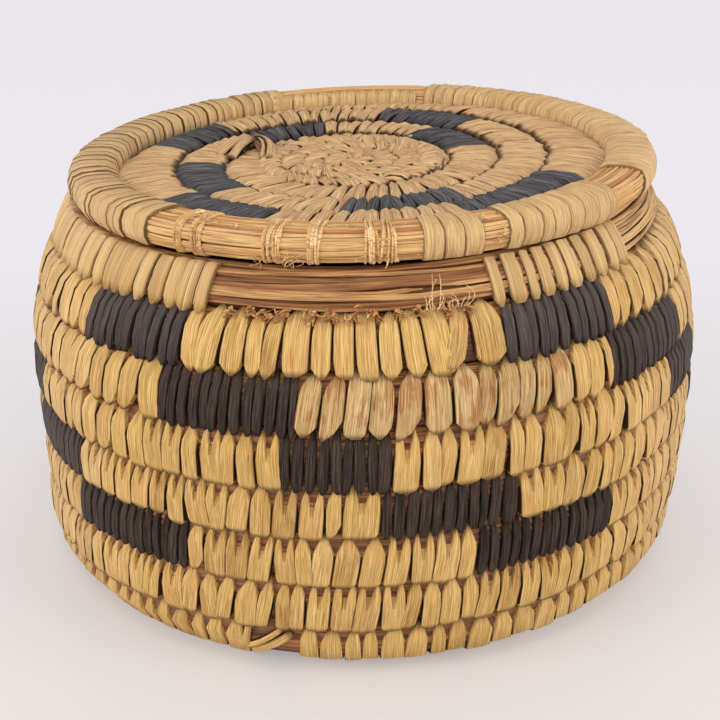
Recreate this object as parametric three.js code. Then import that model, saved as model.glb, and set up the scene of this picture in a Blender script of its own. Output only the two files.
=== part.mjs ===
import * as THREE from 'three';

// Lidded coiled basket in millimetres, +Z up, front towards -Y.
// The origin is the centre of the base, on the surface that the basket stands on.
// A grass bundle winds from the centre of the base out to the edge and up the wall to the rim.
// Sewing strips bind each turn to the one before it, and dark strips make the stepped pattern.
// Azimuth is 0 at the front and grows counter-clockwise seen from above, as both coils wind.

// Body
const bodyRadius = 106.7;
const widestHeight = 63;
const shoulderBulgeRadius = 85.5;
const bellyBulgeRadius = 1000;
const baseEdgeRadius = 12;
const baseSway = 1.4;
const swayHeight = 45;
const seatHeight = 114.3;
const wallThickness = 11;
const wallCoilPitch = 14.8;
const rimBundleHeight = 12;
const baseKnotRadius = 7;
const restFlatDepth = 0.5;

// Lid
const lidOverhang = 4.6;
const lidRimHeight = 10;
const lidRimChamfer = 2.2;
const lidDiscPitch = 15.1;
const lidDiscThickness = 10.5;
const lidDiscDrop = 2.4;
const lidDiscClearance = 3.9;
const lidDiscDish = 3.5;
const lidPoleOffset = -3.6;
const lidKnotRadius = 7;
const lidKnotSink = 1;
const lidLean = 0.023;
const lidRimSplice = -100;

// Coil section
const shoulderShare = 0.24;
const endFullness = 0.4;
const turnGap = 0.65;
const thinnestEnd = 2.6;
const knotChamfer = 1.5;

// Sewing strips that are pieces of their own
const stripThickness = 1;
const stripClearance = 0.3;
const lidSeatClearance = 0.3;
const joinGap = 0.4;

// Stepped pattern of the wall, counted back along the coil from the rim, in degrees.
// The blocks of a row share one span, and three of them sit off the even steps.
const darkBlockAngles = [20.6, 21.8, 16, 20.4, 24.8];
const darkBlockStepAngle = 68.7;
const darkBlockCount = 26;
const lastDarkBlockAngle = -190.9;
const darkBlockShifts = { dark_stitches_row_1_3: -1.7, dark_stitches_row_2_4: 2.9, dark_stitches_row_4_2: -4.3 };

// Pattern of the lid: centre azimuth and span of each dark block, in degrees, by turn from the rim
const lidBlocks = [
  { turn: 1, name: 'front_left', centre: -35, span: 30.5 },
  { turn: 1, name: 'front_right', centre: 46, span: 38 },
  { turn: 1, name: 'back_left', centre: -120, span: 28 },
  { turn: 2, name: 'front', centre: 17, span: 37.5 },
  { turn: 2, name: 'back_right', centre: 151.5, span: 35 },
  { turn: 2, name: 'back_left', centre: -151, span: 34 },
  { turn: 2, name: 'left', centre: -67.5, span: 40.5 },
  { turn: 3, name: 'right', centre: 124.5, span: 39 },
];

// Light wrappings of the rims, as first and last azimuth in degrees
const rimWrappings = [
  { name: 'rim_wrapping_left', from: -160, to: -24.2 },
  { name: 'rim_wrapping_right', from: 19.7, to: 52 },
  { name: 'rim_wrapping_back', from: 104, to: 140 },
];
const lidRimWrappings = [
  { name: 'lid_rim_wrapping_left', from: -159, to: -40 },
  { name: 'lid_rim_thin_wrap_1', from: -33.6, to: -31.5 },
  { name: 'lid_rim_thin_wrap_2', from: -30, to: -27.8 },
  { name: 'lid_rim_thin_wrap_3', from: -16.6, to: -13.6 },
  { name: 'lid_rim_thin_wrap_4', from: -9.1, to: -6.7 },
  { name: 'lid_rim_thin_wrap_5', from: 0.4, to: 2.3 },
  { name: 'lid_rim_thin_wrap_6', from: 3.4, to: 5.4 },
  { name: 'lid_rim_wide_wrap_1', from: 10.3, to: 13.3 },
  { name: 'lid_rim_wide_wrap_2', from: 13.7, to: 16.7 },
  { name: 'lid_rim_wide_wrap_3', from: 17.1, to: 20.1 },
  { name: 'lid_rim_wrapping_right', from: 25, to: 50 },
  { name: 'lid_rim_wrapping_back', from: 64, to: 163 },
];

// Finishes
const straw = new THREE.MeshStandardMaterial({ color: 0xc9a566, roughness: 0.75, metalness: 0 });
const grass = new THREE.MeshStandardMaterial({ color: 0xb98a52, roughness: 0.7, metalness: 0 });
const charcoal = new THREE.MeshStandardMaterial({ color: 0x3d3733, roughness: 0.8, metalness: 0 });

const fullTurn = 2 * Math.PI;
const stationsPerTurn = 24;
const stationAngle = fullTurn / stationsPerTurn;
const leastStationShare = 0.05;
const roundingRoom = 1e-6;
const knotSides = 16;
const stripInset = stripThickness + stripClearance;

const radians = (degrees) => degrees * fullTurn / 360;

function pointAt(radius, azimuth, height, axisX) {
  return new THREE.Vector3(axisX + radius * Math.sin(azimuth), -radius * Math.cos(azimuth), height);
}

// Middle line of the body's wall in section, measured outwards from the centre of the base:
// flat base, rounded edge, a nearly straight belly arc up to the widest place, then the shoulder arc to the rim.
const halfWall = wallThickness / 2;
const shoulderArcX = bodyRadius - shoulderBulgeRadius;
const shoulderArc = shoulderBulgeRadius - halfWall;
const bellyArcX = bodyRadius - bellyBulgeRadius;
const bellyArc = bellyBulgeRadius - halfWall;
const edgeArc = baseEdgeRadius - halfWall;
const edgeHeight = baseEdgeRadius - restFlatDepth;
const edgeReach = bellyBulgeRadius - baseEdgeRadius;
const edgeTilt = Math.asin((edgeHeight - widestHeight) / edgeReach);
const edgeX = bellyArcX + edgeReach * Math.cos(edgeTilt);
const bellyStart = edgeX + edgeArc * (edgeTilt + Math.PI / 2);
const shoulderStart = bellyStart - bellyArc * edgeTilt;

function bodySurface(along, outwards) {
  if (along < edgeX) {
    return { radius: along, height: edgeHeight - edgeArc - outwards };
  }
  if (along < bellyStart) {
    const tilt = (along - edgeX) / edgeArc - Math.PI / 2;
    const reach = edgeArc + outwards;
    return { radius: edgeX + reach * Math.cos(tilt), height: edgeHeight + reach * Math.sin(tilt) };
  }
  const belly = along < shoulderStart;
  const tilt = (along - shoulderStart) / (belly ? bellyArc : shoulderArc);
  const reach = (belly ? bellyArc : shoulderArc) + outwards;
  const arcX = belly ? bellyArcX : shoulderArcX;
  return { radius: arcX + reach * Math.cos(tilt), height: widestHeight + reach * Math.sin(tilt) };
}

// The hand-wound base sits a little left of the rim: the wall's axis drifts in its lowest part.
function bodyAxisX(height) {
  const drop = (swayHeight - height) / (swayHeight - wallThickness);
  return -baseSway * Math.min(1, Math.max(0, drop)) ** 2;
}

// The rim's outer shoulder lies in the seat, a plane that leans as the lid does.
function seatAlong(azimuth) {
  const reach = shoulderArc + wallThickness * shoulderShare;
  const levelTilt = Math.asin((seatHeight - widestHeight) / reach);
  const seatRadius = shoulderArcX + reach * Math.cos(levelTilt);
  const height = seatHeight + lidLean * seatRadius * Math.sin(azimuth);
  const tilt = Math.asin((height - widestHeight) / reach);
  return shoulderStart + tilt * shoulderArc;
}

// The lid's rim covers the body's rim. Its disc lies inside the mouth, wound about a pole left of the centre.
const chordShare = Math.cos(stationAngle / 2);
const lidRadius = bodySurface(seatAlong(0), wallThickness * shoulderShare).radius + lidOverhang;
const lidDiscEdge = bodySurface(seatAlong(0), -halfWall).radius * chordShare - lidDiscClearance;
const lidRimInnerRadius = lidDiscEdge + joinGap;
const lidRimWidth = lidRadius - lidRimInnerRadius;
const discHeight = lidDiscThickness / 2 - lidDiscDrop;

// The disc sags a little towards its middle.
function discSurface(along, outwards) {
  const sag = lidDiscDish * (1 - (along / lidDiscEdge) ** 2);
  return { radius: along, height: discHeight - sag + outwards };
}

function discEdgeAlong(azimuth) {
  const edge = lidDiscEdge * chordShare;
  const aside = lidPoleOffset * Math.cos(azimuth);
  return Math.sqrt(edge * edge - aside * aside) - lidPoleOffset * Math.sin(azimuth);
}

// A coil's outline in section, between its lower and upper edge along the surface.
function coilOutline(coil, low, high) {
  const share = (high - low) / (coil.pitch - turnGap);
  const fullness = endFullness + (1 - endFullness) * Math.min(1, share);
  const half = coil.thickness / 2 * fullness;
  const shoulder = coil.thickness * shoulderShare * fullness;
  const middle = (low + high) / 2;
  const outer = [[low, shoulder], [middle, half], [high, shoulder]];
  if (coil.flatDepth) {
    const flatHalf = (high - low) / 2 * coil.flatDepth / (half - shoulder);
    const flat = half - coil.flatDepth;
    outer.splice(1, 1, [middle - flatHalf, flat], [middle + flatHalf, flat]);
  }
  return [[low, -shoulder], ...outer, [high, -shoulder], [middle, -half]];
}

// Moves every side of a convex outline inwards by the same distance.
function insetOutline(outline, distance) {
  const count = outline.length;
  const sides = outline.map((start, i) => {
    const end = outline[(i + 1) % count];
    const run = [end[0] - start[0], end[1] - start[1]];
    const length = Math.hypot(run[0], run[1]);
    const inwards = [run[1] / length, -run[0] / length];
    return { start, run, inwards };
  });
  return sides.map((side, i) => {
    const before = sides[(i + count - 1) % count];
    const corner = outline[i];
    const cosine = before.inwards[0] * side.inwards[0] + before.inwards[1] * side.inwards[1];
    const reach = distance / (1 + cosine);
    return [
      corner[0] + reach * (before.inwards[0] + side.inwards[0]),
      corner[1] + reach * (before.inwards[1] + side.inwards[1]),
    ];
  });
}

// Edges of the coil at an azimuth that is 0 at the front of its last turn.
function coilEdges(coil, azimuth) {
  const start = coil.lastTurnStart + coil.pitch * azimuth / fullTurn;
  const low = Math.max(start, coil.innerLimit);
  const high = Math.min(start + coil.pitch - turnGap, coil.outerLimit(azimuth));
  return { low, high };
}

function stationRing(coil, station, inset) {
  const azimuth = station * stationAngle;
  const { low, high } = coilEdges(coil, azimuth);
  const outline = coilOutline(coil, low, high);
  const shape = inset > 0 ? insetOutline(outline, inset) : outline;
  return shape.map(([along, outwards]) => {
    const place = coil.surface(along, outwards);
    return pointAt(place.radius, azimuth, place.height, coil.axisX(place.height));
  });
}

// Between two stations the coil runs straight, so neighbouring turns stay a turn gap apart.
function coilRing(coil, azimuth, inset = 0) {
  const position = azimuth / stationAngle;
  const station = Math.floor(position + roundingRoom);
  const share = position - station;
  const ring = stationRing(coil, station, inset);
  if (share < roundingRoom) {
    return ring;
  }
  const next = stationRing(coil, station + 1, inset);
  return ring.map((point, i) => point.clone().lerp(next[i], share));
}

function stationsBetween(from, to) {
  const stations = [];
  const last = to / stationAngle - leastStationShare;
  for (let k = Math.ceil(from / stationAngle + leastStationShare); k <= last; k += 1) {
    stations.push(k * stationAngle);
  }
  return stations;
}

function meshGeometry(points, faces) {
  let volume = 0;
  for (const [a, b, c] of faces) {
    volume += points[a].dot(points[b].clone().cross(points[c]));
  }
  const outward = volume > 0 ? faces : faces.map(([a, b, c]) => [a, c, b]);
  const geometry = new THREE.BufferGeometry();
  geometry.setAttribute('position', new THREE.Float32BufferAttribute(points.flatMap((p) => p.toArray()), 3));
  geometry.setIndex(outward.flat());
  geometry.computeVertexNormals();
  return geometry;
}

function bandFaces(first, second, count) {
  const faces = [];
  for (let i = 0; i < count; i += 1) {
    const j = (i + 1) % count;
    faces.push([first + i, first + j, second + j], [first + i, second + j, second + i]);
  }
  return faces;
}

function solidSweep(rings) {
  const count = rings[0].length;
  const faces = [];
  for (let k = 0; k + 1 < rings.length; k += 1) {
    faces.push(...bandFaces(k * count, (k + 1) * count, count));
  }
  const last = (rings.length - 1) * count;
  for (let i = 1; i + 1 < count; i += 1) {
    faces.push([0, i + 1, i], [last, last + i, last + i + 1]);
  }
  return meshGeometry(rings.flat(), faces);
}

function sleeveSweep(outerRings, innerRings) {
  const count = outerRings[0].length;
  const innerStart = outerRings.length * count;
  const faces = [];
  for (let k = 0; k + 1 < outerRings.length; k += 1) {
    faces.push(...bandFaces(k * count, (k + 1) * count, count));
    faces.push(...bandFaces(innerStart + (k + 1) * count, innerStart + k * count, count));
  }
  const last = (outerRings.length - 1) * count;
  faces.push(...bandFaces(innerStart, 0, count));
  faces.push(...bandFaces(last, innerStart + last, count));
  return meshGeometry([...outerRings, ...innerRings].flat(), faces);
}

// A coil from one azimuth to another, drawn in where a separate strip wraps it.
function coilGeometry(coil, from, to, wrappings) {
  const joints = [from];
  const rings = [coilRing(coil, from)];
  for (const wrap of [...wrappings, { from: to, to }]) {
    const radius = coilRing(coil, wrap.from)[0].length();
    const endRoom = stripClearance / radius;
    for (const azimuth of stationsBetween(joints.at(-1), wrap.from)) {
      rings.push(coilRing(coil, azimuth));
    }
    if (wrap.to > wrap.from) {
      const waist = stationsBetween(wrap.from, wrap.to);
      rings.push(coilRing(coil, wrap.from - 2 * endRoom));
      for (const azimuth of [wrap.from - endRoom, ...waist, wrap.to + endRoom]) {
        rings.push(coilRing(coil, azimuth, stripInset));
      }
      rings.push(coilRing(coil, wrap.to + 2 * endRoom));
    }
    joints.push(wrap.to);
  }
  rings.push(coilRing(coil, to));
  return solidSweep(rings);
}

function wrapGeometry(coil, wrap) {
  const azimuths = [wrap.from, ...stationsBetween(wrap.from, wrap.to), wrap.to];
  const outerRings = azimuths.map((azimuth) => coilRing(coil, azimuth));
  const innerRings = azimuths.map((azimuth) => coilRing(coil, azimuth, stripThickness));
  return sleeveSweep(outerRings, innerRings);
}

// Station nearest the coil's end that still is as wide as its thinnest end.
function coilEnd(coil, azimuth, step) {
  let end = azimuth;
  let next = coilEdges(coil, end + step);
  while (next.high - next.low > thinnestEnd) {
    end += step;
    next = coilEdges(coil, end + step);
  }
  return end;
}

// Least distance between points of one turn and points of the turn outside it.
function leastTurnGap(coil, from, to) {
  let least = Infinity;
  for (const azimuth of stationsBetween(from, to - fullTurn)) {
    const ring = coilRing(coil, azimuth);
    const next = coilRing(coil, azimuth + fullTurn);
    for (const point of ring) {
      for (const other of next) {
        least = Math.min(least, point.distanceTo(other));
      }
    }
  }
  return least;
}

function addPiece(group, name, geometry, material) {
  const mesh = new THREE.Mesh(geometry, material);
  mesh.name = name;
  group.add(mesh);
}

function knotGeometry(radius, bottom, top, axisX) {
  const profile = [
    [0, bottom], [radius - knotChamfer, bottom], [radius, bottom + knotChamfer],
    [radius, top - knotChamfer], [radius - knotChamfer, top], [0, top],
  ];
  const geometry = new THREE.LatheGeometry(profile.map(([x, y]) => new THREE.Vector2(x, y)), knotSides);
  return geometry.rotateX(Math.PI / 2).translate(axisX, 0, 0);
}

// Body coil: the rim bundle starts one bundle height below the seat at the front
const bodyCoil = {
  surface: bodySurface,
  pitch: wallCoilPitch,
  thickness: wallThickness,
  lastTurnStart: seatAlong(0) - rimBundleHeight,
  innerLimit: baseKnotRadius + turnGap,
  outerLimit: seatAlong,
  axisX: bodyAxisX,
};
const baseCoil = { ...bodyCoil, flatDepth: restFlatDepth };

function turnAtAlong(coil, along) {
  return fullTurn * (along - coil.lastTurnStart) / coil.pitch;
}

function makeBody() {
  const body = new THREE.Group();
  const splice = Math.round(turnAtAlong(bodyCoil, edgeX - turnGap) / stationAngle) * stationAngle;
  const firstBase = coilEnd(baseCoil, splice, -stationAngle);
  const spliceRadius = bodySurface(edgeX - wallCoilPitch / 2, 0).radius;
  const baseEnd = splice - joinGap / spliceRadius;
  const tailEnd = coilEnd(bodyCoil, 0, stationAngle);

  const darkBlocks = [];
  for (let k = darkBlockCount - 1; k >= 0; k -= 1) {
    const evenPlace = radians(lastDarkBlockAngle - k * darkBlockStepAngle);
    const row = Math.round(-evenPlace / fullTurn);
    const place = darkBlocks.filter((block) => block.row === row).length + 1;
    const name = `dark_stitches_row_${row}_${place}`;
    const centre = evenPlace + radians(darkBlockShifts[name] ?? 0);
    const half = radians(darkBlockAngles[row - 1]) / 2;
    darkBlocks.push({ name, row, from: centre - half, to: centre + half, material: charcoal });
  }
  const rimWraps = rimWrappings.map((wrap) => ({
    name: wrap.name,
    from: radians(wrap.from),
    to: radians(wrap.to),
    material: straw,
  }));
  const wraps = [...darkBlocks, ...rimWraps];

  const knotTop = wallThickness - restFlatDepth;
  addPiece(body, 'base_knot', knotGeometry(baseKnotRadius, 0, knotTop, bodyAxisX(0)), grass);
  addPiece(body, 'base_coil', coilGeometry(baseCoil, firstBase, baseEnd, []), straw);
  addPiece(body, 'wall_coil', coilGeometry(bodyCoil, splice, tailEnd, wraps), straw);
  for (const wrap of wraps) {
    addPiece(body, wrap.name, wrapGeometry(bodyCoil, wrap), wrap.material);
  }
  console.log('least gap between base turns', leastTurnGap(baseCoil, firstBase, baseEnd).toFixed(3));
  console.log('least gap between wall turns', leastTurnGap(bodyCoil, splice, tailEnd).toFixed(3));
  return body;
}

// Lid disc coil
const discCoil = {
  surface: discSurface,
  pitch: lidDiscPitch,
  thickness: lidDiscThickness,
  lastTurnStart: lidRimInnerRadius - turnGap - lidDiscPitch,
  innerLimit: lidKnotRadius + turnGap,
  outerLimit: discEdgeAlong,
  axisX: () => lidPoleOffset,
};

// The lid's rim bundle is one turn whose two ends meet under the wrapping at the left
const rimMiddleRadius = lidRadius - lidRimWidth / 2;
const rimMiddleHeight = lidSeatClearance + lidRimHeight / 2;

function lidRimRing(azimuth, inset) {
  const halfWidth = lidRimWidth / 2 - inset;
  const halfHeight = lidRimHeight / 2 - inset;
  const flatWidth = halfWidth - lidRimChamfer;
  const flatHeight = halfHeight - lidRimChamfer;
  const outline = [
    [halfWidth, -flatHeight], [halfWidth, flatHeight], [flatWidth, halfHeight], [-flatWidth, halfHeight],
    [-halfWidth, flatHeight], [-halfWidth, -flatHeight], [-flatWidth, -halfHeight], [flatWidth, -halfHeight],
  ];
  return outline.map(([across, up]) => pointAt(rimMiddleRadius + across, azimuth, rimMiddleHeight + up, 0));
}

function lidRimAt(azimuth, inset) {
  const position = azimuth / stationAngle;
  const station = Math.floor(position + roundingRoom);
  const ring = lidRimRing(station * stationAngle, inset);
  const next = lidRimRing((station + 1) * stationAngle, inset);
  return ring.map((point, i) => point.clone().lerp(next[i], position - station));
}

function makeLid() {
  const lid = new THREE.Group();
  const firstDisc = coilEnd(discCoil, 0, -stationAngle);
  const lastDisc = coilEnd(discCoil, 0, stationAngle);
  const blocks = lidBlocks.map((block) => {
    const centre = radians(block.centre) - (block.turn - 1) * fullTurn;
    const half = radians(block.span) / 2;
    return { name: `lid_dark_ring_${block.turn}_${block.name}`, from: centre - half, to: centre + half };
  });
  blocks.sort((a, b) => a.from - b.from);

  const knotHalf = lidDiscThickness / 2 - lidKnotSink;
  const knotMiddle = discSurface(0, 0).height;
  const knot = knotGeometry(lidKnotRadius, knotMiddle - knotHalf, knotMiddle + knotHalf, lidPoleOffset);
  addPiece(lid, 'lid_knot', knot, straw);
  addPiece(lid, 'lid_disc_coil', coilGeometry(discCoil, firstDisc, lastDisc, blocks), straw);
  for (const block of blocks) {
    addPiece(lid, block.name, wrapGeometry(discCoil, block), charcoal);
  }
  console.log('least gap between lid turns', leastTurnGap(discCoil, firstDisc, lastDisc).toFixed(3));

  const splice = radians(lidRimSplice);
  const spliceRoom = joinGap / 2 / rimMiddleRadius;
  const bundleStart = splice + spliceRoom;
  const bundleEnd = splice + fullTurn - spliceRoom;
  const bundleStations = [bundleStart, ...stationsBetween(bundleStart, bundleEnd), bundleEnd];
  addPiece(lid, 'lid_rim_bundle', solidSweep(bundleStations.map((a) => lidRimAt(a, stripInset))), grass);
  for (const wrap of lidRimWrappings) {
    const from = radians(wrap.from);
    const to = radians(wrap.to);
    const azimuths = [from, ...stationsBetween(from, to), to];
    const outerRings = azimuths.map((a) => lidRimAt(a, 0));
    const innerRings = azimuths.map((a) => lidRimAt(a, stripThickness));
    addPiece(lid, wrap.name, sleeveSweep(outerRings, innerRings), straw);
  }
  lid.position.z = seatHeight;
  lid.rotation.y = -Math.atan(lidLean);
  return lid;
}

const basket = new THREE.Group();
basket.add(makeBody(), makeLid());

export default basket;
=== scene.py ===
import math

import bmesh
import bpy
import numpy as np
from mathutils import Matrix, Vector


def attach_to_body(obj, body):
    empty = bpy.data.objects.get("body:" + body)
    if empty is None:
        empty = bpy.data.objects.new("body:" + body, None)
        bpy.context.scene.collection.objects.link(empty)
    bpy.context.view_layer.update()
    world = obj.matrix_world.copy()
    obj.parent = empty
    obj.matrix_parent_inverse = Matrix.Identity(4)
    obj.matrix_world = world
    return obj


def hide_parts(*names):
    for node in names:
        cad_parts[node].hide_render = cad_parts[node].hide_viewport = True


# A lidded basket of sewn grass coils: stepped dark blocks on the wall, a lift-off lid with a raised rim.
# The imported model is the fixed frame, in metres, +Z up, front towards -Y.
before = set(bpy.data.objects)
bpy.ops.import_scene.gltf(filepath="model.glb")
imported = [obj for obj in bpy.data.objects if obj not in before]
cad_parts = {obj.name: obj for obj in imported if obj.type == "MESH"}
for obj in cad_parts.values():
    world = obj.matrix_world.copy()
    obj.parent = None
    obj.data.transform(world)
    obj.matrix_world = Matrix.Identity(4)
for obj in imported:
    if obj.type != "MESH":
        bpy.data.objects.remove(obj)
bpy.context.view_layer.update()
mm = 0.001
fullTurn = 2 * math.pi
chance = np.random.default_rng(41)


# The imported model's sizes, in millimetres and degrees; azimuth is 0 at the front and grows towards the right
body = dict(
    radius=106.7, widestHeight=63, shoulderBulge=85.5, bellyBulge=1000, edgeRadius=12, sway=1.4,
    swayHeight=45, seatHeight=114.3, thickness=11, pitch=14.8, rimHeight=12, knotRadius=7, restFlat=0.5,
    shoulderShare=0.24, turnGap=0.65,
)
lid = dict(
    overhang=4.6, rimHeight=10, discPitch=15.1, discThickness=10.5, discDrop=2.4, discClearance=3.9,
    discDish=3.5, joinGap=0.4, poleOffset=-3.6, knotRadius=7, lean=0.023, seatClearance=0.3,
)
darkBlocks = dict(
    spans=[20.6, 21.8, 16, 20.4, 24.8], spacing=68.7, count=26, last=-190.9,
    shifts={"1_3": -1.7, "2_4": 2.9, "4_2": -4.3},
)
lidBlocks = [
    dict(ring=1, place="front_left", centre=-35, span=30.5),
    dict(ring=1, place="front_right", centre=46, span=38),
    dict(ring=1, place="back_left", centre=-120, span=28),
    dict(ring=2, place="front", centre=17, span=37.5),
    dict(ring=2, place="back_right", centre=151.5, span=35),
    dict(ring=2, place="back_left", centre=-151, span=34),
    dict(ring=2, place="left", centre=-67.5, span=40.5),
    dict(ring=3, place="right", centre=124.5, span=39),
]

# The wall in section: flat base, rounded edge, a nearly straight belly and the shoulder
# that curves in to the rim
halfWall = body["thickness"] / 2
shoulderArcX = body["radius"] - body["shoulderBulge"]
shoulderArc = body["shoulderBulge"] - halfWall
bellyArcX = body["radius"] - body["bellyBulge"]
bellyArc = body["bellyBulge"] - halfWall
edgeArc = body["edgeRadius"] - halfWall
edgeHeight = body["edgeRadius"] - body["restFlat"]
edgeReach = body["bellyBulge"] - body["edgeRadius"]
edgeTilt = math.asin((edgeHeight - body["widestHeight"]) / edgeReach)
edgeX = bellyArcX + edgeReach * math.cos(edgeTilt)
bellyStart = edgeX + edgeArc * (edgeTilt + math.pi / 2)
shoulderStart = bellyStart - bellyArc * edgeTilt
shoulderReach = shoulderArc + body["thickness"] * body["shoulderShare"]
chordShare = math.cos(fullTurn / 48)


def wallSurface(along, outwards):
    along, outwards = np.broadcast_arrays(np.asarray(along, float), np.asarray(outwards, float))
    flat, edge, belly = along < edgeX, along < bellyStart, along < shoulderStart
    arc = np.where(edge, edgeArc, np.where(belly, bellyArc, shoulderArc))
    arcX = np.where(edge, edgeX, np.where(belly, bellyArcX, shoulderArcX))
    arcZ = np.where(edge, edgeHeight, body["widestHeight"])
    tilt = np.where(edge, (along - edgeX) / edgeArc - math.pi / 2, (along - shoulderStart) / arc)
    radius = np.where(flat, along, arcX + (arc + outwards) * np.cos(tilt))
    height = np.where(flat, edgeHeight - edgeArc - outwards, arcZ + (arc + outwards) * np.sin(tilt))
    return radius, height


def seatAlong(azimuth):
    level = math.asin((body["seatHeight"] - body["widestHeight"]) / shoulderReach)
    seatRadius = shoulderArcX + shoulderReach * math.cos(level)
    height = body["seatHeight"] + lid["lean"] * seatRadius * np.sin(azimuth)
    return shoulderStart + np.arcsin((height - body["widestHeight"]) / shoulderReach) * shoulderArc


def bodyPoint(azimuth, along, outwards):
    radius, height = wallSurface(along, outwards)
    height = np.maximum(height, 0.02)  # the underside is pressed flat where it stands
    drop = (body["swayHeight"] - height) / (body["swayHeight"] - body["thickness"])
    axisX = -body["sway"] * np.clip(drop, 0, 1) ** 2
    return np.stack([axisX + radius * np.sin(azimuth), -radius * np.cos(azimuth), height], -1) * mm


seatRadius = float(wallSurface(seatAlong(0), body["thickness"] * body["shoulderShare"])[0])
lidRadius = seatRadius + lid["overhang"]
lidDiscEdge = float(wallSurface(seatAlong(0), -halfWall)[0]) * chordShare - lid["discClearance"]
lidRimInner = lidDiscEdge + lid["joinGap"]
discHeight = lid["discThickness"] / 2 - lid["discDrop"]
lidSlope = math.atan(lid["lean"])


def lidPoint(x, y, z):
    return np.stack([x * math.cos(lidSlope) - z * math.sin(lidSlope), y,
                     body["seatHeight"] + x * math.sin(lidSlope) + z * math.cos(lidSlope)], -1) * mm


def discLevel(along):
    # the disc sags a little towards its middle
    return discHeight - lid["discDish"] * (1 - (along / lidDiscEdge) ** 2)


def discPoint(azimuth, along, outwards):
    azimuth, along, outwards = np.broadcast_arrays(azimuth, along, outwards)
    x = lid["poleOffset"] + along * np.sin(azimuth)
    return lidPoint(x, -along * np.cos(azimuth), discLevel(along) + outwards)


def discEdgeAlong(azimuth):
    edge = lidDiscEdge * chordShare
    aside = lid["poleOffset"] * np.cos(azimuth)
    return np.sqrt(edge * edge - aside * aside) - lid["poleOffset"] * np.sin(azimuth)


def rimPoint(azimuth, across, up):
    azimuth, across, up = np.broadcast_arrays(azimuth, across, up)
    radius = (lidRadius + lidRimInner) / 2 + across
    height = lid["seatClearance"] + lid["rimHeight"] / 2 + up
    return lidPoint(radius * np.sin(azimuth), -radius * np.cos(azimuth), height)


# Both coils: each turn lies a pitch further along the surface than the turn before it
bodyCoil = dict(
    point=bodyPoint, pitch=body["pitch"], half=halfWall, lastStart=float(seatAlong(0)) - body["rimHeight"],
    inner=body["knotRadius"] + body["turnGap"], outer=seatAlong, turned=False,
)
discCoil = dict(
    point=discPoint, pitch=lid["discPitch"], half=lid["discThickness"] / 2,
    lastStart=lidRimInner - body["turnGap"] - lid["discPitch"],
    inner=lid["knotRadius"] + body["turnGap"], outer=discEdgeAlong, turned=True,
)


def turnEdges(coil, azimuth):
    start = coil["lastStart"] + coil["pitch"] * azimuth / fullTurn
    low = np.maximum(start, coil["inner"])
    high = np.minimum(start + coil["pitch"], coil["outer"](azimuth) + body["turnGap"])
    return low, np.maximum(high, low)


def turnRadius(coil, azimuth):
    low, high = turnEdges(coil, azimuth)
    if coil is bodyCoil:
        return wallSurface((low + high) / 2, 0)[0]
    return (low + high) / 2


# Mesh building: faces that meet at more than this angle get a sharp edge
sharpAngle = math.radians(55)
# each strip takes its grain from a place of its own on the pattern, this far apart from tone 0 to tone 1
grainShift = 1300


class MeshParts:
    def __init__(self):
        self.points, self.loops, self.sizes, self.places, self.maps = [], [], [], [], []
        self.count = 0

    def add(self, points, loops, sizes, places, uv):
        # points is copies by corners by 3; loops and sizes describe the faces of one copy
        copies, corners = points.shape[:2]
        offsets = self.count + corners * np.arange(copies)
        self.points.append(points.reshape(-1, 3))
        self.loops.append((offsets[:, None] + loops[None]).ravel())
        self.sizes.append(np.tile(sizes, copies))
        self.places.append(places.reshape(-1, 3))
        self.maps.append(uv.reshape(-1, 2))
        self.count += copies * corners

    def build(self, name, material):
        points = np.concatenate(self.points)
        loops = np.concatenate(self.loops).astype(np.int32)
        sizes = np.concatenate(self.sizes)
        mesh = bpy.data.meshes.new(name)
        mesh.vertices.add(len(points))
        mesh.vertices.foreach_set("co", points.astype(np.float32).ravel())
        mesh.loops.add(len(loops))
        mesh.loops.foreach_set("vertex_index", loops)
        mesh.polygons.add(len(sizes))
        starts = np.concatenate([[0], np.cumsum(sizes)[:-1]]).astype(np.int32)
        mesh.polygons.foreach_set("loop_start", starts)
        mesh.update(calc_edges=True)
        uv = mesh.uv_layers.new(name="sewing")
        uv.data.foreach_set("uv", np.concatenate(self.maps)[loops].astype(np.float32).ravel())
        place = mesh.attributes.new("place", "FLOAT_VECTOR", "POINT")
        place.data.foreach_set("vector", np.concatenate(self.places).astype(np.float32).ravel())
        mesh.polygons.foreach_set("use_smooth", np.ones(len(sizes), bool))
        mesh.set_sharp_from_angle(angle=sharpAngle)
        mesh.validate()
        piece = bpy.data.objects.new(name, mesh)
        bpy.context.scene.collection.objects.link(piece)
        mesh.materials.append(material)
        return piece


def attach(piece, bodyName, node=None):
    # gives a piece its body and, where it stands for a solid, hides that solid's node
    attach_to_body(piece, bodyName)
    if node:
        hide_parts(node)
    return piece


def tubeFaces(rings, around):
    loops, sizes = [], []
    for ring in range(rings - 1):
        for side in range(around):
            other = (side + 1) % around
            a, b = ring * around, (ring + 1) * around
            loops += [a + side, a + other, b + other, b + side]
            sizes.append(4)
    loops += list(range(around - 1, -1, -1)) + [(rings - 1) * around + side for side in range(around)]
    return np.array(loops), np.array(sizes + [around, around])


# Strips are modelled flat: x across from -1 to 1, y along from 0 to 1, z height in millimetres

def deselectAll():
    if bpy.context.object and bpy.context.object.mode == "EDIT":
        bpy.ops.object.mode_set(mode="OBJECT")
    bpy.ops.object.select_all(action="DESELECT")


def pickVerts(piece, wanted):
    shape = bmesh.from_edit_mesh(piece.data)
    for vert in shape.verts:
        vert.select = wanted(vert)
    shape.select_flush(True)
    shape.select_flush(False)
    bmesh.update_edit_mesh(piece.data)


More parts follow.
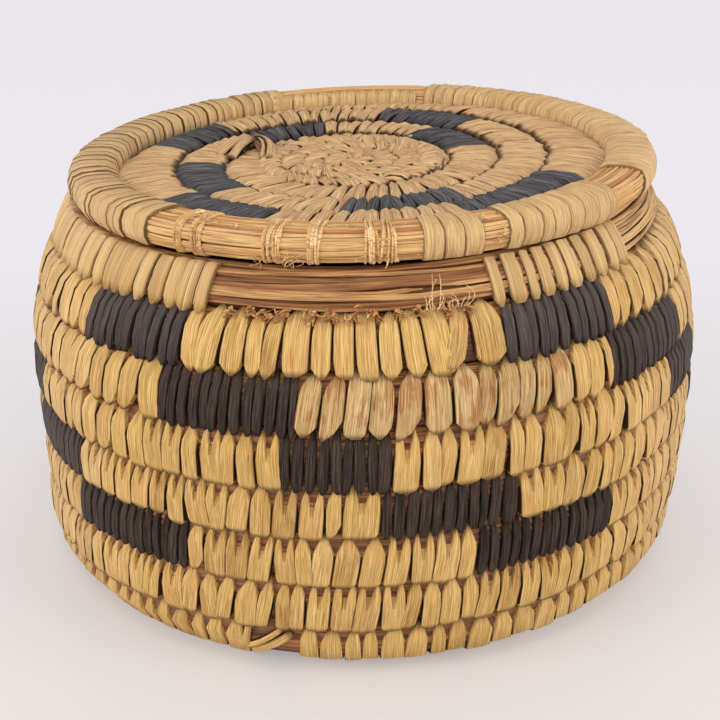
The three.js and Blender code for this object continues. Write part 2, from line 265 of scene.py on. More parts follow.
def takeModel(piece):
    # the corners and faces of a modelled shape, which is then laid in place as many times as it is needed
    mesh = piece.data
    points = np.zeros(len(mesh.vertices) * 3)
    mesh.vertices.foreach_get("co", points)
    faces = [[mesh.loops[i].vertex_index for i in face.loop_indices] for face in mesh.polygons]
    model = dict(
        points=points.reshape(-1, 3), sizes=np.array([len(face) for face in faces]),
        loops=np.array([corner for face in faces for corner in face]),
        reversed=np.array([corner for face in faces for corner in face[::-1]]))
    bpy.data.objects.remove(piece)
    bpy.data.meshes.remove(mesh)
    return model


def modelStem(sides, rings):
    # a round stem from 0 to 1 up, with radius 1
    deselectAll()
    bpy.ops.mesh.primitive_circle_add(vertices=sides, radius=1, fill_type="NGON")
    stem = bpy.context.object
    bpy.ops.object.mode_set(mode="EDIT")
    bpy.ops.mesh.select_all(action="SELECT")
    for ring in range(rings):
        bpy.ops.mesh.extrude_region_move(TRANSFORM_OT_translate=dict(value=(0, 0, 1 / rings)))
    bpy.ops.mesh.select_all(action="SELECT")
    bpy.ops.mesh.normals_make_consistent(inside=False)
    bpy.ops.object.mode_set(mode="OBJECT")
    return takeModel(stem)


def modelStrip(shape):
    rows, columns = len(shape["rows"]) - 1, len(shape["crown"]) - 1
    across = columns + 1
    deselectAll()
    bpy.ops.mesh.primitive_grid_add(x_subdivisions=columns, y_subdivisions=rows, size=2)
    strip = bpy.context.object
    bpy.ops.object.mode_set(mode="EDIT")
    bpy.ops.mesh.select_mode(type="VERT")
    for column, (place, height) in enumerate(shape["crown"]):
        pickVerts(strip, lambda vert: vert.index % across == column)
        bpy.ops.transform.translate(value=(place + 1 - 2 * column / columns, 0, height))
    for row, (place, width, bend) in enumerate(shape["rows"]):
        pickVerts(strip, lambda vert: row * across <= vert.index < (row + 1) * across)
        start = 2 * row / rows - 1
        bpy.ops.transform.resize(value=(width, 1, 1), center_override=(0, start, 0))
        bpy.ops.transform.translate(value=(bend, place - start, 0))
    for row, column, move in shape.get("moves", []):
        pickVerts(strip, lambda vert: vert.index == row * across + column)
        bpy.ops.transform.translate(value=move)
    bpy.ops.mesh.select_all(action="SELECT")
    bpy.ops.mesh.region_to_loop()
    bpy.ops.mesh.extrude_edges_move(TRANSFORM_OT_translate=dict(value=(0, 0, -shape["thickness"])))
    bpy.ops.mesh.edge_face_add()
    bpy.ops.mesh.select_all(action="SELECT")
    bpy.ops.mesh.normals_make_consistent(inside=False)
    bpy.ops.object.mode_set(mode="OBJECT")
    return takeModel(strip)


# Rows of a strip are (place along, half width, bend) and its crown is (place across, height).
# Moves shift single corners, as (row, column, way). The strip pierces the turn below at 0 and dives in at 1.
leafShapes = dict(
    pointed=dict(
        rows=[(0, .16, -.1), (.08, .6, -.05), (.17, .94, .02), (.36, 1.02, 0), (.62, 1, -.02), (.79, .82, 0),
              (.92, .42, .05), (1, .1, .1)],
        crown=[(-1, -.7), (-.92, .04), (-.34, .16), (.4, .08), (.92, 0), (1, -.7)], thickness=.9),
    blunt=dict(
        rows=[(0, .4, .2), (.07, .84, .05), (.3, 1.03, 0), (.62, 1.03, 0), (.84, .98, -.03),
              (.93, .74, -.14), (1, .42, -.3)],
        crown=[(-1, -.7), (-.92, .02), (-.3, .08), (.34, .14), (.92, .08), (1, -.65)], thickness=.9,
        moves=[(6, 3, (0, -.03, -.1))]),
    slanted=dict(
        rows=[(0, .14, -.6), (.13, .66, -.28), (.32, .98, 0), (.6, 1, .03), (.77, .82, .1), (.91, .42, .26),
              (1, .1, .38)],
        crown=[(-1, -.7), (-.92, .06), (-.36, .15), (.4, .08), (.92, 0), (1, -.7)], thickness=.9),
    spire=dict(
        rows=[(0, .36, .1), (.05, .84, .04), (.13, 1, 0), (.5, 1.03, 0), (.68, .88, .02), (.84, .46, .06),
              (1, .06, .12)],
        crown=[(-1, -.7), (-.92, .05), (-.3, .13), (.4, .07), (.92, 0), (1, -.7)], thickness=.9),
    forked=dict(
        rows=[(0, .42, .05), (.05, .86, .02), (.14, 1.02, 0), (.5, 1.03, 0), (.76, .86, 0), (1, .56, 0)],
        crown=[(-1, -.7), (-.92, .04), (-.12, .1), (-.04, .08), (.04, .08), (.12, .1), (.92, .04), (1, -.7)],
        thickness=.9,
        moves=[(4, 2, (-.2, 0, 0)), (4, 3, (-.2, 0, -1.9)), (4, 4, (.2, 0, -1.9)), (4, 5, (.2, 0, 0)),
               (5, 2, (-.44, 0, 0)), (5, 3, (-.44, 0, -1.9)), (5, 4, (.44, 0, -1.9)), (5, 5, (.44, 0, 0))]),
    lidLeaf=dict(
        rows=[(0, .74, .05), (.08, .96, 0), (.3, 1.02, 0), (.7, 1.02, 0), (.92, .94, 0), (1, .7, .05)],
        crown=[(-1, -.9), (-.8, -.2), (-.1, .42), (.72, -.1), (1, -.85)], thickness=.8),
    dark=dict(
        rows=[(0, .36, .1), (.08, .84, 0), (.3, 1.02, 0), (.62, .98, 0), (.82, .76, 0), (.94, .4, .06),
              (1, .08, .12)],
        crown=[(-1, -.55), (-.8, .04), (.06, .16), (.8, .06), (1, -.5)], thickness=.7),
    darkSplit=dict(
        rows=[(0, .3, -.08), (.09, .8, .03), (.3, 1, 0), (.62, .95, 0), (.8, .74, -.04), (.93, .36, -.1),
              (1, .06, -.16)],
        crown=[(-1, -.5), (-.78, .16), (-.1, .08), (.8, -.04), (1, -.6)], thickness=.7),
    plain=dict(
        rows=[(0, .3, 0), (.1, .86, 0), (.35, 1, 0), (.65, .98, 0), (.88, .66, .03), (1, .2, .08)],
        crown=[(-1, -.4), (-.7, .1), (.7, .1), (1, -.4)], thickness=.7),
    cord=dict(
        rows=[(0, .35, 0), (.04, .7, 0), (.12, .96, 0), (.3, 1, 0), (.5, 1, .02), (.7, 1, 0),
              (.88, .96, -.02), (.96, .7, 0), (1, .35, 0)],
        crown=[(-1, -.75), (-.8, -.12), (0, .24), (.8, -.14), (1, -.75)], thickness=.8),
    rimCord=dict(
        rows=[(0, .25, .1), (.04, .7, .03), (.1, .96, 0), (.2, 1.02, 0), (.31, 1, .02), (.4, .98, 0),
              (.44, .97, 0), (.48, .97, 0), (.52, .97, 0), (.56, .97, 0), (.6, .98, 0), (.72, 1, 0),
              (.9, .96, 0), (1, .4, 0)],
        crown=[(-1, -.8), (-.84, -.12), (-.1, .3), (.8, 0), (1, -.7)], thickness=.8),
    wrap=dict(
        rows=[(k / 16, (.2, .8, 1)[min(k, 2)] if k < 16 else .6, .05 * math.sin(k * 2.1)) for k in range(17)],
        crown=[(-1, -.5), (-.8, .04), (.7, .12), (1, -.5)], thickness=.6),
    band=dict(
        rows=[(k / 16, 1 if 0 < k < 16 else .7, .04 * math.sin(k * 2.6)) for k in range(17)],
        crown=[(-1, -.5), (-.86, -.06), (.5, .2), (1, .08)], thickness=.6),
    strand=dict(
        rows=[(k / 16, .8 + .3 * math.sin(k * 1.9), .3 * math.sin(k * 1.1)) for k in range(17)],
        crown=[(-1, -.22), (0, .12), (1, -.22)], thickness=.3),
    ragged=dict(
        rows=[(k / 16, (1 if k % 3 else .8) if 0 < k < 16 else .5, .12 * math.sin(k * 1.7))
              for k in range(17)],
        crown=[(-1, -.3), (-.6, .2), (.3, -.05), (1, -.3)], thickness=.6),
)
leaf = {name: modelStrip(shape) for name, shape in leafShapes.items()}
rimStem = modelStem(6, 120)
fibre = modelStem(4, 5)
print("strip models:", ", ".join(leaf))


# Height of a strip above the middle of the coil and of the bundle under it, in shares of the coil's
# half thickness, by share of the turn
coverShape = dict(
    places=[-.16, -.06, .04, .14, .3, .5, .7, .84, .94, 1.02, 1.1],
    heights=[.74, .85, .92, .95, .96, .95, .87, .7, .52, .4, .3],
)
bundleShape = dict(
    places=[0, .06, .16, .32, .5, .68, .84, .94, 1],
    heights=[.18, .34, .52, .66, .7, .64, .5, .3, .16],
)


def smoothStep(places, heights, at):
    # a smooth curve through the points, which holds its first and last height beyond them
    places, heights = np.asarray(places, float), np.asarray(heights, float)
    slopes = np.gradient(heights, places)
    at = np.clip(at, places[0], places[-1])
    cell = np.clip(np.searchsorted(places, at) - 1, 0, len(places) - 2)
    run = places[cell + 1] - places[cell]
    share = (at - places[cell]) / run
    square, cube = share * share, share * share * share
    return ((2 * cube - 3 * square + 1) * heights[cell] + (cube - 2 * square + share) * run * slopes[cell]
            + (3 * square - 2 * cube) * heights[cell + 1] + (cube - square) * run * slopes[cell + 1])


def layStrips(parts, coil, model, rows, side):
    # rows hold one line per copy: azimuth, width, low shift, high shift, low end, high end, lift, tone
    # and whether it is mirrored
    rows = np.asarray(rows, float)
    for mirrored in (0, 1):
        chosen = rows[rows[:, 8] == mirrored]
        if not len(chosen):
            continue
        columns = [chosen[:, k:k + 1] for k in range(8)]
        azimuth, width, lowShift, highShift, lowEnd, highEnd, lift, tone = columns
        x, y, z = (model["points"][None, :, k] for k in range(3))
        x = -x if mirrored else x
        across = x * width / 2
        radius = turnRadius(coil, azimuth)
        turn = azimuth + (across + lowShift * (1 - y) ** 2 + highShift * y ** 2) / radius
        low, high = turnEdges(coil, turn)
        share = lowEnd + (highEnd - lowEnd) * y
        along = low + share * (high - low)
        fullness = np.clip((high - low) / coil["pitch"], 0, 1)
        foot = smoothStep(coverShape["places"], coverShape["heights"], share) * coil["half"]
        foot = foot * (0.4 + 0.6 * fullness)
        points = coil["point"](turn, along, side * (foot + z + lift))
        flip = (side < 0) ^ bool(mirrored) ^ coil["turned"]
        places = np.stack([np.broadcast_to(k, points.shape[:2]) for k in (x, y, tone)], -1)
        uv = np.stack([across + grainShift * tone, share * coil["pitch"] + 0 * x], -1)
        parts.add(points, model["reversed" if flip else "loops"], model["sizes"], places, uv)


# Strips are narrower in the inner turns: the width grows from innerWidth to full between these turns
innerTurns = (-4.5, -2.5)


def stripPlaces(coil, start, end, spans, settings):
    # centres and widths of the stitches from one azimuth to another; spans are the dark stretches
    places, azimuth = [], start
    while azimuth < end:
        dark = next((k for k, (low, high) in enumerate(spans) if low <= azimuth < high), None)
        kind = settings["sizes"]["dark" if dark is not None else "light"]
        share = np.interp(azimuth / fullTurn, innerTurns, [settings["innerWidth"], 1])
        width = kind["width"] * share * (1 + kind["spread"] * chance.uniform(-1, 1))
        radius = float(turnRadius(coil, azimuth))
        step = width / radius
        if dark is None:
            limit = min([low for low, _ in spans if low > azimuth] + [end])
        else:
            limit = spans[dark][1]
        if azimuth + 1.45 * step > limit:  # the last stitch of a stretch fills it
            step = limit - azimuth
        places.append(dict(centre=azimuth + step / 2, start=azimuth, width=step * radius, dark=dark))
        azimuth += step + 1e-7
    return places


# Materials

class Socket:
    def __init__(self, shader, socket):
        self.shader, self.socket = shader, socket

    def maths(self, operation, first, second):
        return self.shader.node("ShaderNodeMath", dict(operation=operation), [first, second])

    def __add__(self, other):
        return self.maths("ADD", self, other)

    def __radd__(self, other):
        return self.maths("ADD", other, self)

    def __sub__(self, other):
        return self.maths("SUBTRACT", self, other)

    def __rsub__(self, other):
        return self.maths("SUBTRACT", other, self)

    def __mul__(self, other):
        return self.maths("MULTIPLY", self, other)

    def __rmul__(self, other):
        return self.maths("MULTIPLY", other, self)

    def above(self, low, high):
        settings = dict(interpolation_type="SMOOTHSTEP")
        return self.shader.node("ShaderNodeMapRange", settings, [self, low, high, 0, 1])


class Shader:
    def __init__(self, name, **constants):
        self.material = bpy.data.materials.new(name)
        self.material.use_nodes = True
        self.tree = self.material.node_tree
        self.surface = self.tree.nodes["Principled BSDF"]
        for key, value in constants.items():
            self.surface.inputs[key.replace("_", " ")].default_value = value

    def node(self, kind, settings, values, output=0):
        node = self.tree.nodes.new(kind)
        for key, value in settings.items():
            if key == "stops":
                while len(node.color_ramp.elements) < len(value):
                    node.color_ramp.elements.new(0.5)
                for element, (place, colour) in zip(node.color_ramp.elements, value):
                    element.position, element.color = place, (*colour, 1)
            else:
                setattr(node, key, value)
        pairs = values.items() if isinstance(values, dict) else enumerate(values)
        for key, value in pairs:
            named = [s for s in node.inputs if s.identifier == key]
            socket = named[0] if named else node.inputs[key]
            if isinstance(value, Socket):
                self.tree.links.new(value.socket, socket)
            elif value is not None:
                socket.default_value = value
        return Socket(self, node.outputs[output])

    def mix(self, factor, first, second):
        first = (*first, 1) if isinstance(first, tuple) else first
        second = (*second, 1) if isinstance(second, tuple) else second
        return self.node("ShaderNodeMix", dict(data_type="RGBA"),
                         dict(Factor_Float=factor, A_Color=first, B_Color=second), output=2)

    def place(self):
        # across, along and tone of the strip or stem
        vector = self.node("ShaderNodeAttribute", dict(attribute_name="place"), [], output=1)
        return [self.node("ShaderNodeSeparateXYZ", {}, [vector], output=k) for k in range(3)]

    def sewing(self):
        vector = self.node("ShaderNodeUVMap", dict(uv_map="sewing"), [])
        return [self.node("ShaderNodeSeparateXYZ", {}, [vector], output=k) for k in range(2)]

    def vector(self, x, y, z):
        return self.node("ShaderNodeCombineXYZ", {}, [x, y, z])

    def noise(self, vector, scale, detail, roughness):
        return self.node("ShaderNodeTexNoise", {},
                         dict(Vector=vector, Scale=scale, Detail=detail, Roughness=roughness))

    def overObject(self):
        return self.node("ShaderNodeTexCoord", {}, [], output=3)

    def spot(self, axis):
        # place on the object along one axis, in metres
        return self.node("ShaderNodeSeparateXYZ", {}, [self.overObject()], output=axis)

    def finish(self, colour, roughness, height, strength, distance):
        self.tree.links.new(colour.socket, self.surface.inputs["Base Color"])
        self.tree.links.new(roughness.socket, self.surface.inputs["Roughness"])
        bump = self.node("ShaderNodeBump", {}, dict(Strength=strength, Distance=distance, Height=height))
        self.tree.links.new(bump.socket, self.surface.inputs["Normal"])
        return self.material


def rgb(red, green, blue):
    # a colour read as display values, turned linear
    return tuple(((c / 255 + 0.055) / 1.055) ** 2.4 if c > 10 else c / 3294.6 for c in (red, green, blue))


def stripFinish(name, look):
    shader = Shader(name, Specular_IOR_Level=0.15)
    across, along, tone = shader.place()
    u, v = shader.sewing()
    vein = shader.noise(shader.vector(u * 2.6, v * 0.05, tone * 7), 1, 2, 0.5)
    fine = shader.noise(shader.vector(u * 8, v * 0.09, tone * 5), 1, 2, 0.7)
    patch = shader.noise(shader.vector(u * 0.35, v * 0.12, tone * 3), 1, 2, 0.5)
    colour = shader.node("ShaderNodeValToRGB", dict(stops=look["tones"]), [tone * 0.7 + patch * 0.6 - 0.15])
    if "stain" in look:
        stain = look["stain"]
        where = shader.noise(shader.overObject(), stain["scale"], 3, 0.55)
        streak = shader.noise(shader.vector(u * 0.8, v * 0.12, tone), 1, 2, 0.5)
        stained = (where * 0.55 + streak * 0.45).above(*stain["range"])
        colour = shader.mix(stained * stain["mix"], colour, stain["colour"])
    scuff = look["scuff"]
    rub = shader.noise(shader.vector(u * 1.3, v * 0.6, tone * 11), 1, 4, 0.75)
    colour = shader.mix(rub.above(*scuff["range"]) * scuff["mix"], colour, scuff["colour"])
    # painted light: paler towards the left and right sides and the top of the piece, as if lit more there
    if "bleach" in look:
        bleach = look["bleach"]
        aside, level = shader.spot(0), shader.spot(2)
        paintedLit = (aside * aside).above(*bleach["sides"]) + level.above(*bleach["range"])
        colour = shader.mix(paintedLit * bleach["mix"], colour, bleach["colour"])
    colour = shader.mix(vein.above(0.52, 0.6) * look["fibre"] * 0.7, colour, look["fibreColour"])
    colour = shader.mix(fine.above(0.5, 0.6) * look["fibre"], colour, look["fibreColour"])
    colour = shader.mix((1 - fine).above(0.5, 0.6) * look["shine"], colour, look["shineColour"])
    # painted shade: dark lines along the folds, at the strip's sides where it meets its neighbours, and at its
    # ends where it slips under the next turn
    fold = 1 - shader.node("ShaderNodeMath", dict(operation="ABSOLUTE"), [vein - 0.44]).above(0.0, 0.03)
    colour = shader.mix(fold * look["fold"], colour, look["edgeColour"])
    colour = shader.mix((across * across).above(0.7, 0.92) * look["edge"], colour, look["edgeColour"])
    ends = (1 - along).above(0.89, 0.99) + along.above(0.86, 1.0)
    colour = shader.mix(ends * look["ends"], colour, look["edgeColour"])
    height = vein * -0.6 - fine * 0.5 - fold * 0.5
    return shader.finish(colour, look["roughness"] + vein * 0.2 - 0.1, height, strength=0.8, distance=0.0003)


def changed(look, **changes):
    return {**look, **changes}


strawLook = dict(
    tones=[(0, rgb(158, 112, 56)), (.25, rgb(190, 148, 80)), (.5, rgb(204, 163, 92)), (.7, rgb(198, 152, 86)),
           (1, rgb(216, 180, 114))],
    # fold, edge and ends set how strongly painted shade darkens the folds, the sides and the ends
    fibre=0.42, fibreColour=rgb(136, 92, 46), shine=0.45, shineColour=rgb(238, 210, 152), fold=0.3, edge=1.0,
    ends=0.7, edgeColour=rgb(52, 30, 14), roughness=0.74,
    stain=dict(scale=42, range=(0.57, 0.68), mix=0.35, colour=rgb(168, 104, 56)),
    scuff=dict(range=(0.6, 0.74), mix=0.45, colour=rgb(226, 206, 172)),
    # painted light: the wall's sides and top are made paler
    bleach=dict(range=(0.098, 0.113), sides=(0.0036, 0.0096), mix=0.45, colour=rgb(214, 180, 140)))
strawStrip = stripFinish("dry leaf strip", strawLook)
paleStrip = stripFinish("bleached leaf strip", changed(
    strawLook,
    tones=[(0, rgb(160, 126, 80)), (.5, rgb(178, 146, 96)), (1, rgb(196, 166, 118))],
    stain=dict(scale=120, range=(0.5, 0.58), mix=0.8, colour=rgb(148, 84, 46))))
wrapStrip = stripFinish("wrapping strip", changed(
    strawLook,
    tones=[(0, rgb(146, 102, 52)), (.3, rgb(180, 140, 78)), (.6, rgb(196, 155, 90)), (1, rgb(208, 174, 112))],
    edge=0.7, ends=0.3, edgeColour=rgb(74, 46, 24)))
lidStraw = stripFinish("leaf strip of the lid", changed(
    strawLook,
    tones=[(0, rgb(160, 116, 74)), (.35, rgb(190, 150, 102)), (.7, rgb(204, 166, 120)),
           (1, rgb(220, 188, 146))],
    stain=dict(scale=75, range=(0.43, 0.58), mix=0.62, colour=rgb(166, 108, 70)), fibre=0.55, ends=0.9))
charcoalLook = dict(
    tones=[(0, rgb(34, 26, 22)), (.4, rgb(46, 37, 32)), (.7, rgb(56, 45, 39)), (1, rgb(68, 54, 46))],
    fibre=0.6, fibreColour=rgb(18, 13, 10), shine=0.5, shineColour=rgb(100, 82, 72), fold=0.4, edge=0.8,
    ends=0.4, edgeColour=rgb(13, 8, 6), roughness=0.8,
    scuff=dict(range=(0.58, 0.72), mix=0.4, colour=rgb(122, 90, 66)))
charcoalStrip = stripFinish("dyed leaf strip", changed(
    charcoalLook,
    # painted light: the dark blocks' sides and upper rows are made greyer and paler
    bleach=dict(range=(0.08, 0.104), sides=(0.0036, 0.0096), mix=0.5, colour=rgb(108, 100, 98))))
lidCharcoal = stripFinish("dyed leaf strip of the lid", changed(
    charcoalLook,
    tones=[(0, rgb(54, 52, 54)), (.5, rgb(72, 70, 72)), (1, rgb(92, 90, 92))],
    fibre=0.55, fibreColour=rgb(34, 32, 34), shine=0.55, shineColour=rgb(130, 126, 126)))


def stemFinish(name, tones, lineColour, litSideColour=None):
    shader = Shader(name)
    across, along, tone = shader.place()
    u, v = shader.sewing()
    streak = shader.noise(shader.vector(u * 0.07, v * 3.2, tone * 9), 1, 3, 0.6)
    blotch = shader.noise(shader.vector(u * 0.05, v * 0.3, tone * 5), 1, 2, 0.5)
    colour = shader.node("ShaderNodeValToRGB", dict(stops=tones), [tone * 0.75 + blotch * 0.5 - 0.12])
    # painted light: paler towards the right side
    if litSideColour:
        colour = shader.mix(shader.spot(0).above(0.045, 0.075) * 0.6, colour, litSideColour)
    colour = shader.mix(streak.above(0.5, 0.58) * 0.75, colour, lineColour)
    rough = 0.5 + streak * 0.25
    return shader.finish(colour, rough, streak, strength=0.5, distance=0.00012)


grassStem = stemFinish(
    "dry grass stem",
    [(0, rgb(122, 66, 34)), (.2, rgb(174, 120, 66)), (.45, rgb(196, 150, 88)), (.65, rgb(210, 170, 110)),
     (.85, rgb(202, 150, 104)), (1, rgb(220, 188, 134))], rgb(124, 76, 38))
# the rim's stems: darker, ruddier grass, with the shade under the lid painted into its tones
shadedStem = stemFinish(
    "rim grass stem with painted shade",
    [(0, rgb(74, 38, 18)), (.2, rgb(134, 82, 42)), (.45, rgb(176, 126, 72)), (.65, rgb(200, 154, 98)),
     (.85, rgb(166, 108, 66)), (1, rgb(214, 174, 118))], rgb(76, 42, 20), rgb(220, 182, 126))
# the bundles' grass: browner than the rim's stems as its own colour, and darker as painted shade of the gaps
# where it shows
coreStem = stemFinish(
    "grass core",
    [(0, rgb(70, 38, 16)), (.4, rgb(116, 68, 31)), (.8, rgb(166, 108, 54)), (1, rgb(196, 140, 80))],
    rgb(36, 19, 9))
fibreShred = stemFinish(
    "frayed fibre",
    [(0, rgb(140, 84, 40)), (.4, rgb(194, 142, 84)), (.7, rgb(216, 176, 118)), (1, rgb(240, 218, 176))],
    rgb(150, 98, 52))
print("materials ready")


# Bundles of grass under the sewing: a section with ribbed sides, swept along the coil
bundle = dict(pointsAcross=25, stepDegrees=3, ribs=9, ribDepth=0.8, wander=0.25)


def sweepBundle(name, coil, start, end, material):
    count = max(4, int(round(math.degrees(end - start) / bundle["stepDegrees"])))
    azimuth = np.linspace(start, end, count)[:, None]
    share = np.linspace(0.01, 0.99, bundle["pointsAcross"])[None]
    low, high = turnEdges(coil, azimuth)
    fullness = 0.4 + 0.6 * np.clip((high - low) / coil["pitch"], 0, 1)
    rings = []
    for side in (1, -1):
        drift = bundle["wander"] * np.sin(azimuth * 7 + side) / bundle["ribs"]
        ribs = np.abs(np.sin(math.pi * bundle["ribs"] * (share + drift))) - 0.6
        height = smoothStep(bundleShape["places"], bundleShape["heights"], share) * coil["half"] * fullness
        height = height + bundle["ribDepth"] * ribs
        along = low + share * (high - low)
        ring = coil["point"](azimuth + 0 * share, along, side * height)
        rings.append(ring if side > 0 else ring[:, ::-1])
    points = np.concatenate(rings, 1)
    around = points.shape[1]
    loops, sizes = tubeFaces(count, around)
    if coil["turned"]:
        corners = np.split(loops, np.cumsum(sizes)[:-1])
        loops = np.concatenate([c[::-1] for c in corners])
    flat = points.reshape(1, -1, 3)
    rib = np.concatenate([share[0], share[0][::-1]]) * bundle["ribs"]
    tone = np.broadcast_to((np.floor(rib) * 0.37) % 1, (count, around))
    run = azimuth * turnRadius(coil, azimuth)
    places = np.stack([np.zeros((count, around)), np.zeros((count, around)), tone], -1).reshape(1, -1, 3)
    uv = np.stack([np.broadcast_to(run, (count, around)), np.broadcast_to(rib * 2.2, (count, around))], -1)
    parts = MeshParts()
    parts.add(flat, loops, sizes, places, uv.reshape(1, -1, 2))
    return parts.build(name, material)


def turnAt(coil, along):
    return fullTurn * (along - coil["lastStart"]) / coil["pitch"]


def coilEnd(coil, azimuth, step, least=2.6):
    low, high = turnEdges(coil, azimuth + step)
    while high - low > least:
        azimuth += step
        low, high = turnEdges(coil, azimuth + step)
    return azimuth


station = fullTurn / 24
splice = round(turnAt(bodyCoil, edgeX - body["turnGap"]) / station) * station
baseStart = coilEnd(bodyCoil, splice, -station)
tailEnd = coilEnd(bodyCoil, 0, station)
discStart = coilEnd(discCoil, 0, -station)
discEnd = coilEnd(discCoil, 0, station)

baseBundle = sweepBundle("base_bundle", bodyCoil, baseStart, splice, coreStem)
attach(baseBundle, "basket_body", "base_coil")
wallBundle = sweepBundle("wall_bundle", bodyCoil, splice, tailEnd, coreStem)
attach(wallBundle, "basket_body", "wall_coil")
discBundle = sweepBundle("lid_disc_bundle", discCoil, discStart, discEnd, coreStem)
attach(discBundle, "lid", "lid_disc_coil")
print("bundles swept")


# Sewing of the wall and base
paleStretch = dict(row=2, start=math.radians(-20.5), end=math.radians(32))
wallSewing = dict(
    sizes=dict(light=dict(width=5.7, spread=0.28), dark=dict(width=3.1, spread=0.12)),
    lean=(0.7, 0.7), reachLow=(0.12, 0.06), reachHigh=(1.06, 1.02), pull=(0.85, 0.3),
    forkWidth=(7.2, 5.4), fill=(1, 0.95), footReach=0.5, edgeReach=0, leaves=None, innerWidth=1,
    slant=dict(azimuths=[-60, 0, 20, 50], chances=[.5, .15, .45, .75]),
)
# Where the sewing changes, in turns back from the rim. A pair of leans, reaches or fork widths holds the
# values before and after the change, and a pair of pulls or fills those of light and dark strips.
sewingTurns = dict(lean=-1.6, spire=-2.5, reach=-3.6, foot=(-7.4, -6.2))
rimWrapStart = math.radians(-160)
brokenFoot = dict(turn=7, start=math.radians(-18.5), end=math.radians(-11))


def darkSpans():
    spans = []
    for k in range(darkBlocks["count"] - 1, -1, -1):
        evenPlace = darkBlocks["last"] - k * darkBlocks["spacing"]
        row = round(-evenPlace / 360)
        number = sum(span["row"] == row for span in spans) + 1
        centre = math.radians(evenPlace + darkBlocks["shifts"].get(f"{row}_{number}", 0))
        half = math.radians(darkBlocks["spans"][row - 1]) / 2
        spans.append(dict(row=row, number=number, start=centre - half, end=centre + half))
    return spans


def pastTurn(p, change):
    return p["centre"] < sewingTurns[change] * fullTurn


def meetTurnBelow(coil, places, settings):
    # each foot slips between two tips of the turn below, or splits a wide one
    starts = np.array([p["start"] for p in places])
    centres = np.array([p["centre"] for p in places])
    wide = np.array([p["width"] > settings["forkWidth"][pastTurn(p, "spire")] and p["dark"] is None
                     for p in places])
    for p in places:
        below = p["centre"] - fullTurn
        p["pull"] = 0
        if below <= starts[0]:
            continue
        gap = np.abs(starts - below).argmin()
        middle = np.abs(np.where(wide, centres, 1e9) - below).argmin()
        reach = starts[gap] - below
        if abs(centres[middle] - below) < abs(reach):
            reach = centres[middle] - below
            places[middle]["forked"] = True
        radius = float(turnRadius(coil, p["centre"]))
        limit = 0.48 * p["width"]
        p["pull"] = float(np.clip(reach * radius * settings["pull"][p["dark"] is not None], -limit, limit))


def inFootRow(p):
    # the row that bends in under the base
    low, high = sewingTurns["foot"]
    return low < p["centre"] / fullTurn < high


def isGone(p):
    # the few stitches that have come off the outside at the foot
    return brokenFoot["start"] < p["centre"] + brokenFoot["turn"] * fullTurn < brokenFoot["end"]


def pickModel(settings, p, dark, side, slanted):
    if side < 0:
        return "plain"
    if settings["leaves"]:
        return settings["leaves"]
    if dark:
        return "dark" if chance.random() < 0.6 else "darkSplit"
    if inFootRow(p):
        return "pointed"
    if p.get("forked"):
        return "forked"
    if pastTurn(p, "spire"):
        return "slanted" if slanted and chance.random() < 0.5 else "spire"
    if slanted:
        return "slanted"
    return "pointed" if chance.random() < 0.6 else "blunt"


def stripLines(coil, places, settings, side):
    # one line per strip: the piece it belongs to, its model and its place
    lines = []
    slant = settings["slant"]
    for p in places:
        if coil is bodyCoil and side > 0 and isGone(p):
            continue
        dark = p["dark"] is not None
        lean = settings["lean"][pastTurn(p, "lean")] * (1 + 0.5 * chance.uniform(-1, 1)) * side
        width = p["width"] * (settings["fill"][dark] + 0.03 * chance.normal())
        lower = pastTurn(p, "reach")
        # the strips along the disc's edge reach in under the lid's rim
        atEdge = coil is discCoil and turnEdges(coil, p["centre"])[1] > discEdgeAlong(p["centre"])
        lowReach = settings["reachLow"][lower] + settings["footReach"] * inFootRow(p)
        highReach = settings["reachHigh"][lower] + settings["edgeReach"] * atEdge
        azimuth = (math.degrees(p["centre"]) + 180) % 360 - 180
        slanted = chance.random() < np.interp(azimuth, slant["azimuths"], slant["chances"])
        row = [p["centre"], width, p["pull"] - lean / 2, lean / 2 + 0.25 * chance.normal(),
               -lowReach + 0.025 * chance.normal(), highReach + 0.02 * chance.normal(),
               0.13 * chance.normal(), chance.uniform(), float(chance.random() < (0.12 if slanted else 0.45))]
        lines.append((p["group"], pickModel(settings, p, dark, side, slanted), row))
    return lines


def sewPieces(coil, places, settings, bodyName):
    meetTurnBelow(coil, places, settings)
    sides = {side: stripLines(coil, places, settings, side) for side in (1, -1)}
    built = {}
    for group in sorted({p["group"] for p in places}):
        parts = MeshParts()
        for side, lines in sides.items():
            for name in sorted({model for own, model, _ in lines if own == group}):
                rows = [row for own, model, row in lines if own == group and model == name]
                layStrips(parts, coil, leaf[name], rows, side)
        dark = "dark" in group
        if bodyName == "lid":
            finish = lidCharcoal if dark else lidStraw
        else:
            finish = charcoalStrip if dark else paleStrip if group.startswith("pale") else strawStrip
        built[group] = attach(parts.build(group, finish), bodyName)
    return built


spans = darkSpans()
places = stripPlaces(bodyCoil, baseStart, rimWrapStart, [(s["start"], s["end"]) for s in spans], wallSewing)
for p in places:
    row = round(-p["centre"] / fullTurn)
    azimuth = p["centre"] + row * fullTurn
    isPale = row == paleStretch["row"] and paleStretch["start"] < azimuth < paleStretch["end"]
    if p["dark"] is not None:
        span = spans[p["dark"]]
        p["group"] = f"dark_sewing_row_{span['row']}_{span['number']}"
    elif p["centre"] < splice:
        p["group"] = f"base_sewing_turn_{row}"
    elif isPale:
        p["group"] = f"pale_sewing_row_{row}"
    else:
        p["group"] = f"light_sewing_row_{row}"
sewn = sewPieces(bodyCoil, places, wallSewing, "basket_body")
for span in spans:
    number = f"{span['row']}_{span['number']}"
    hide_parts(f"dark_stitches_row_{number}")
print("wall and base sewn:", len(places), "stitches")


# Rims

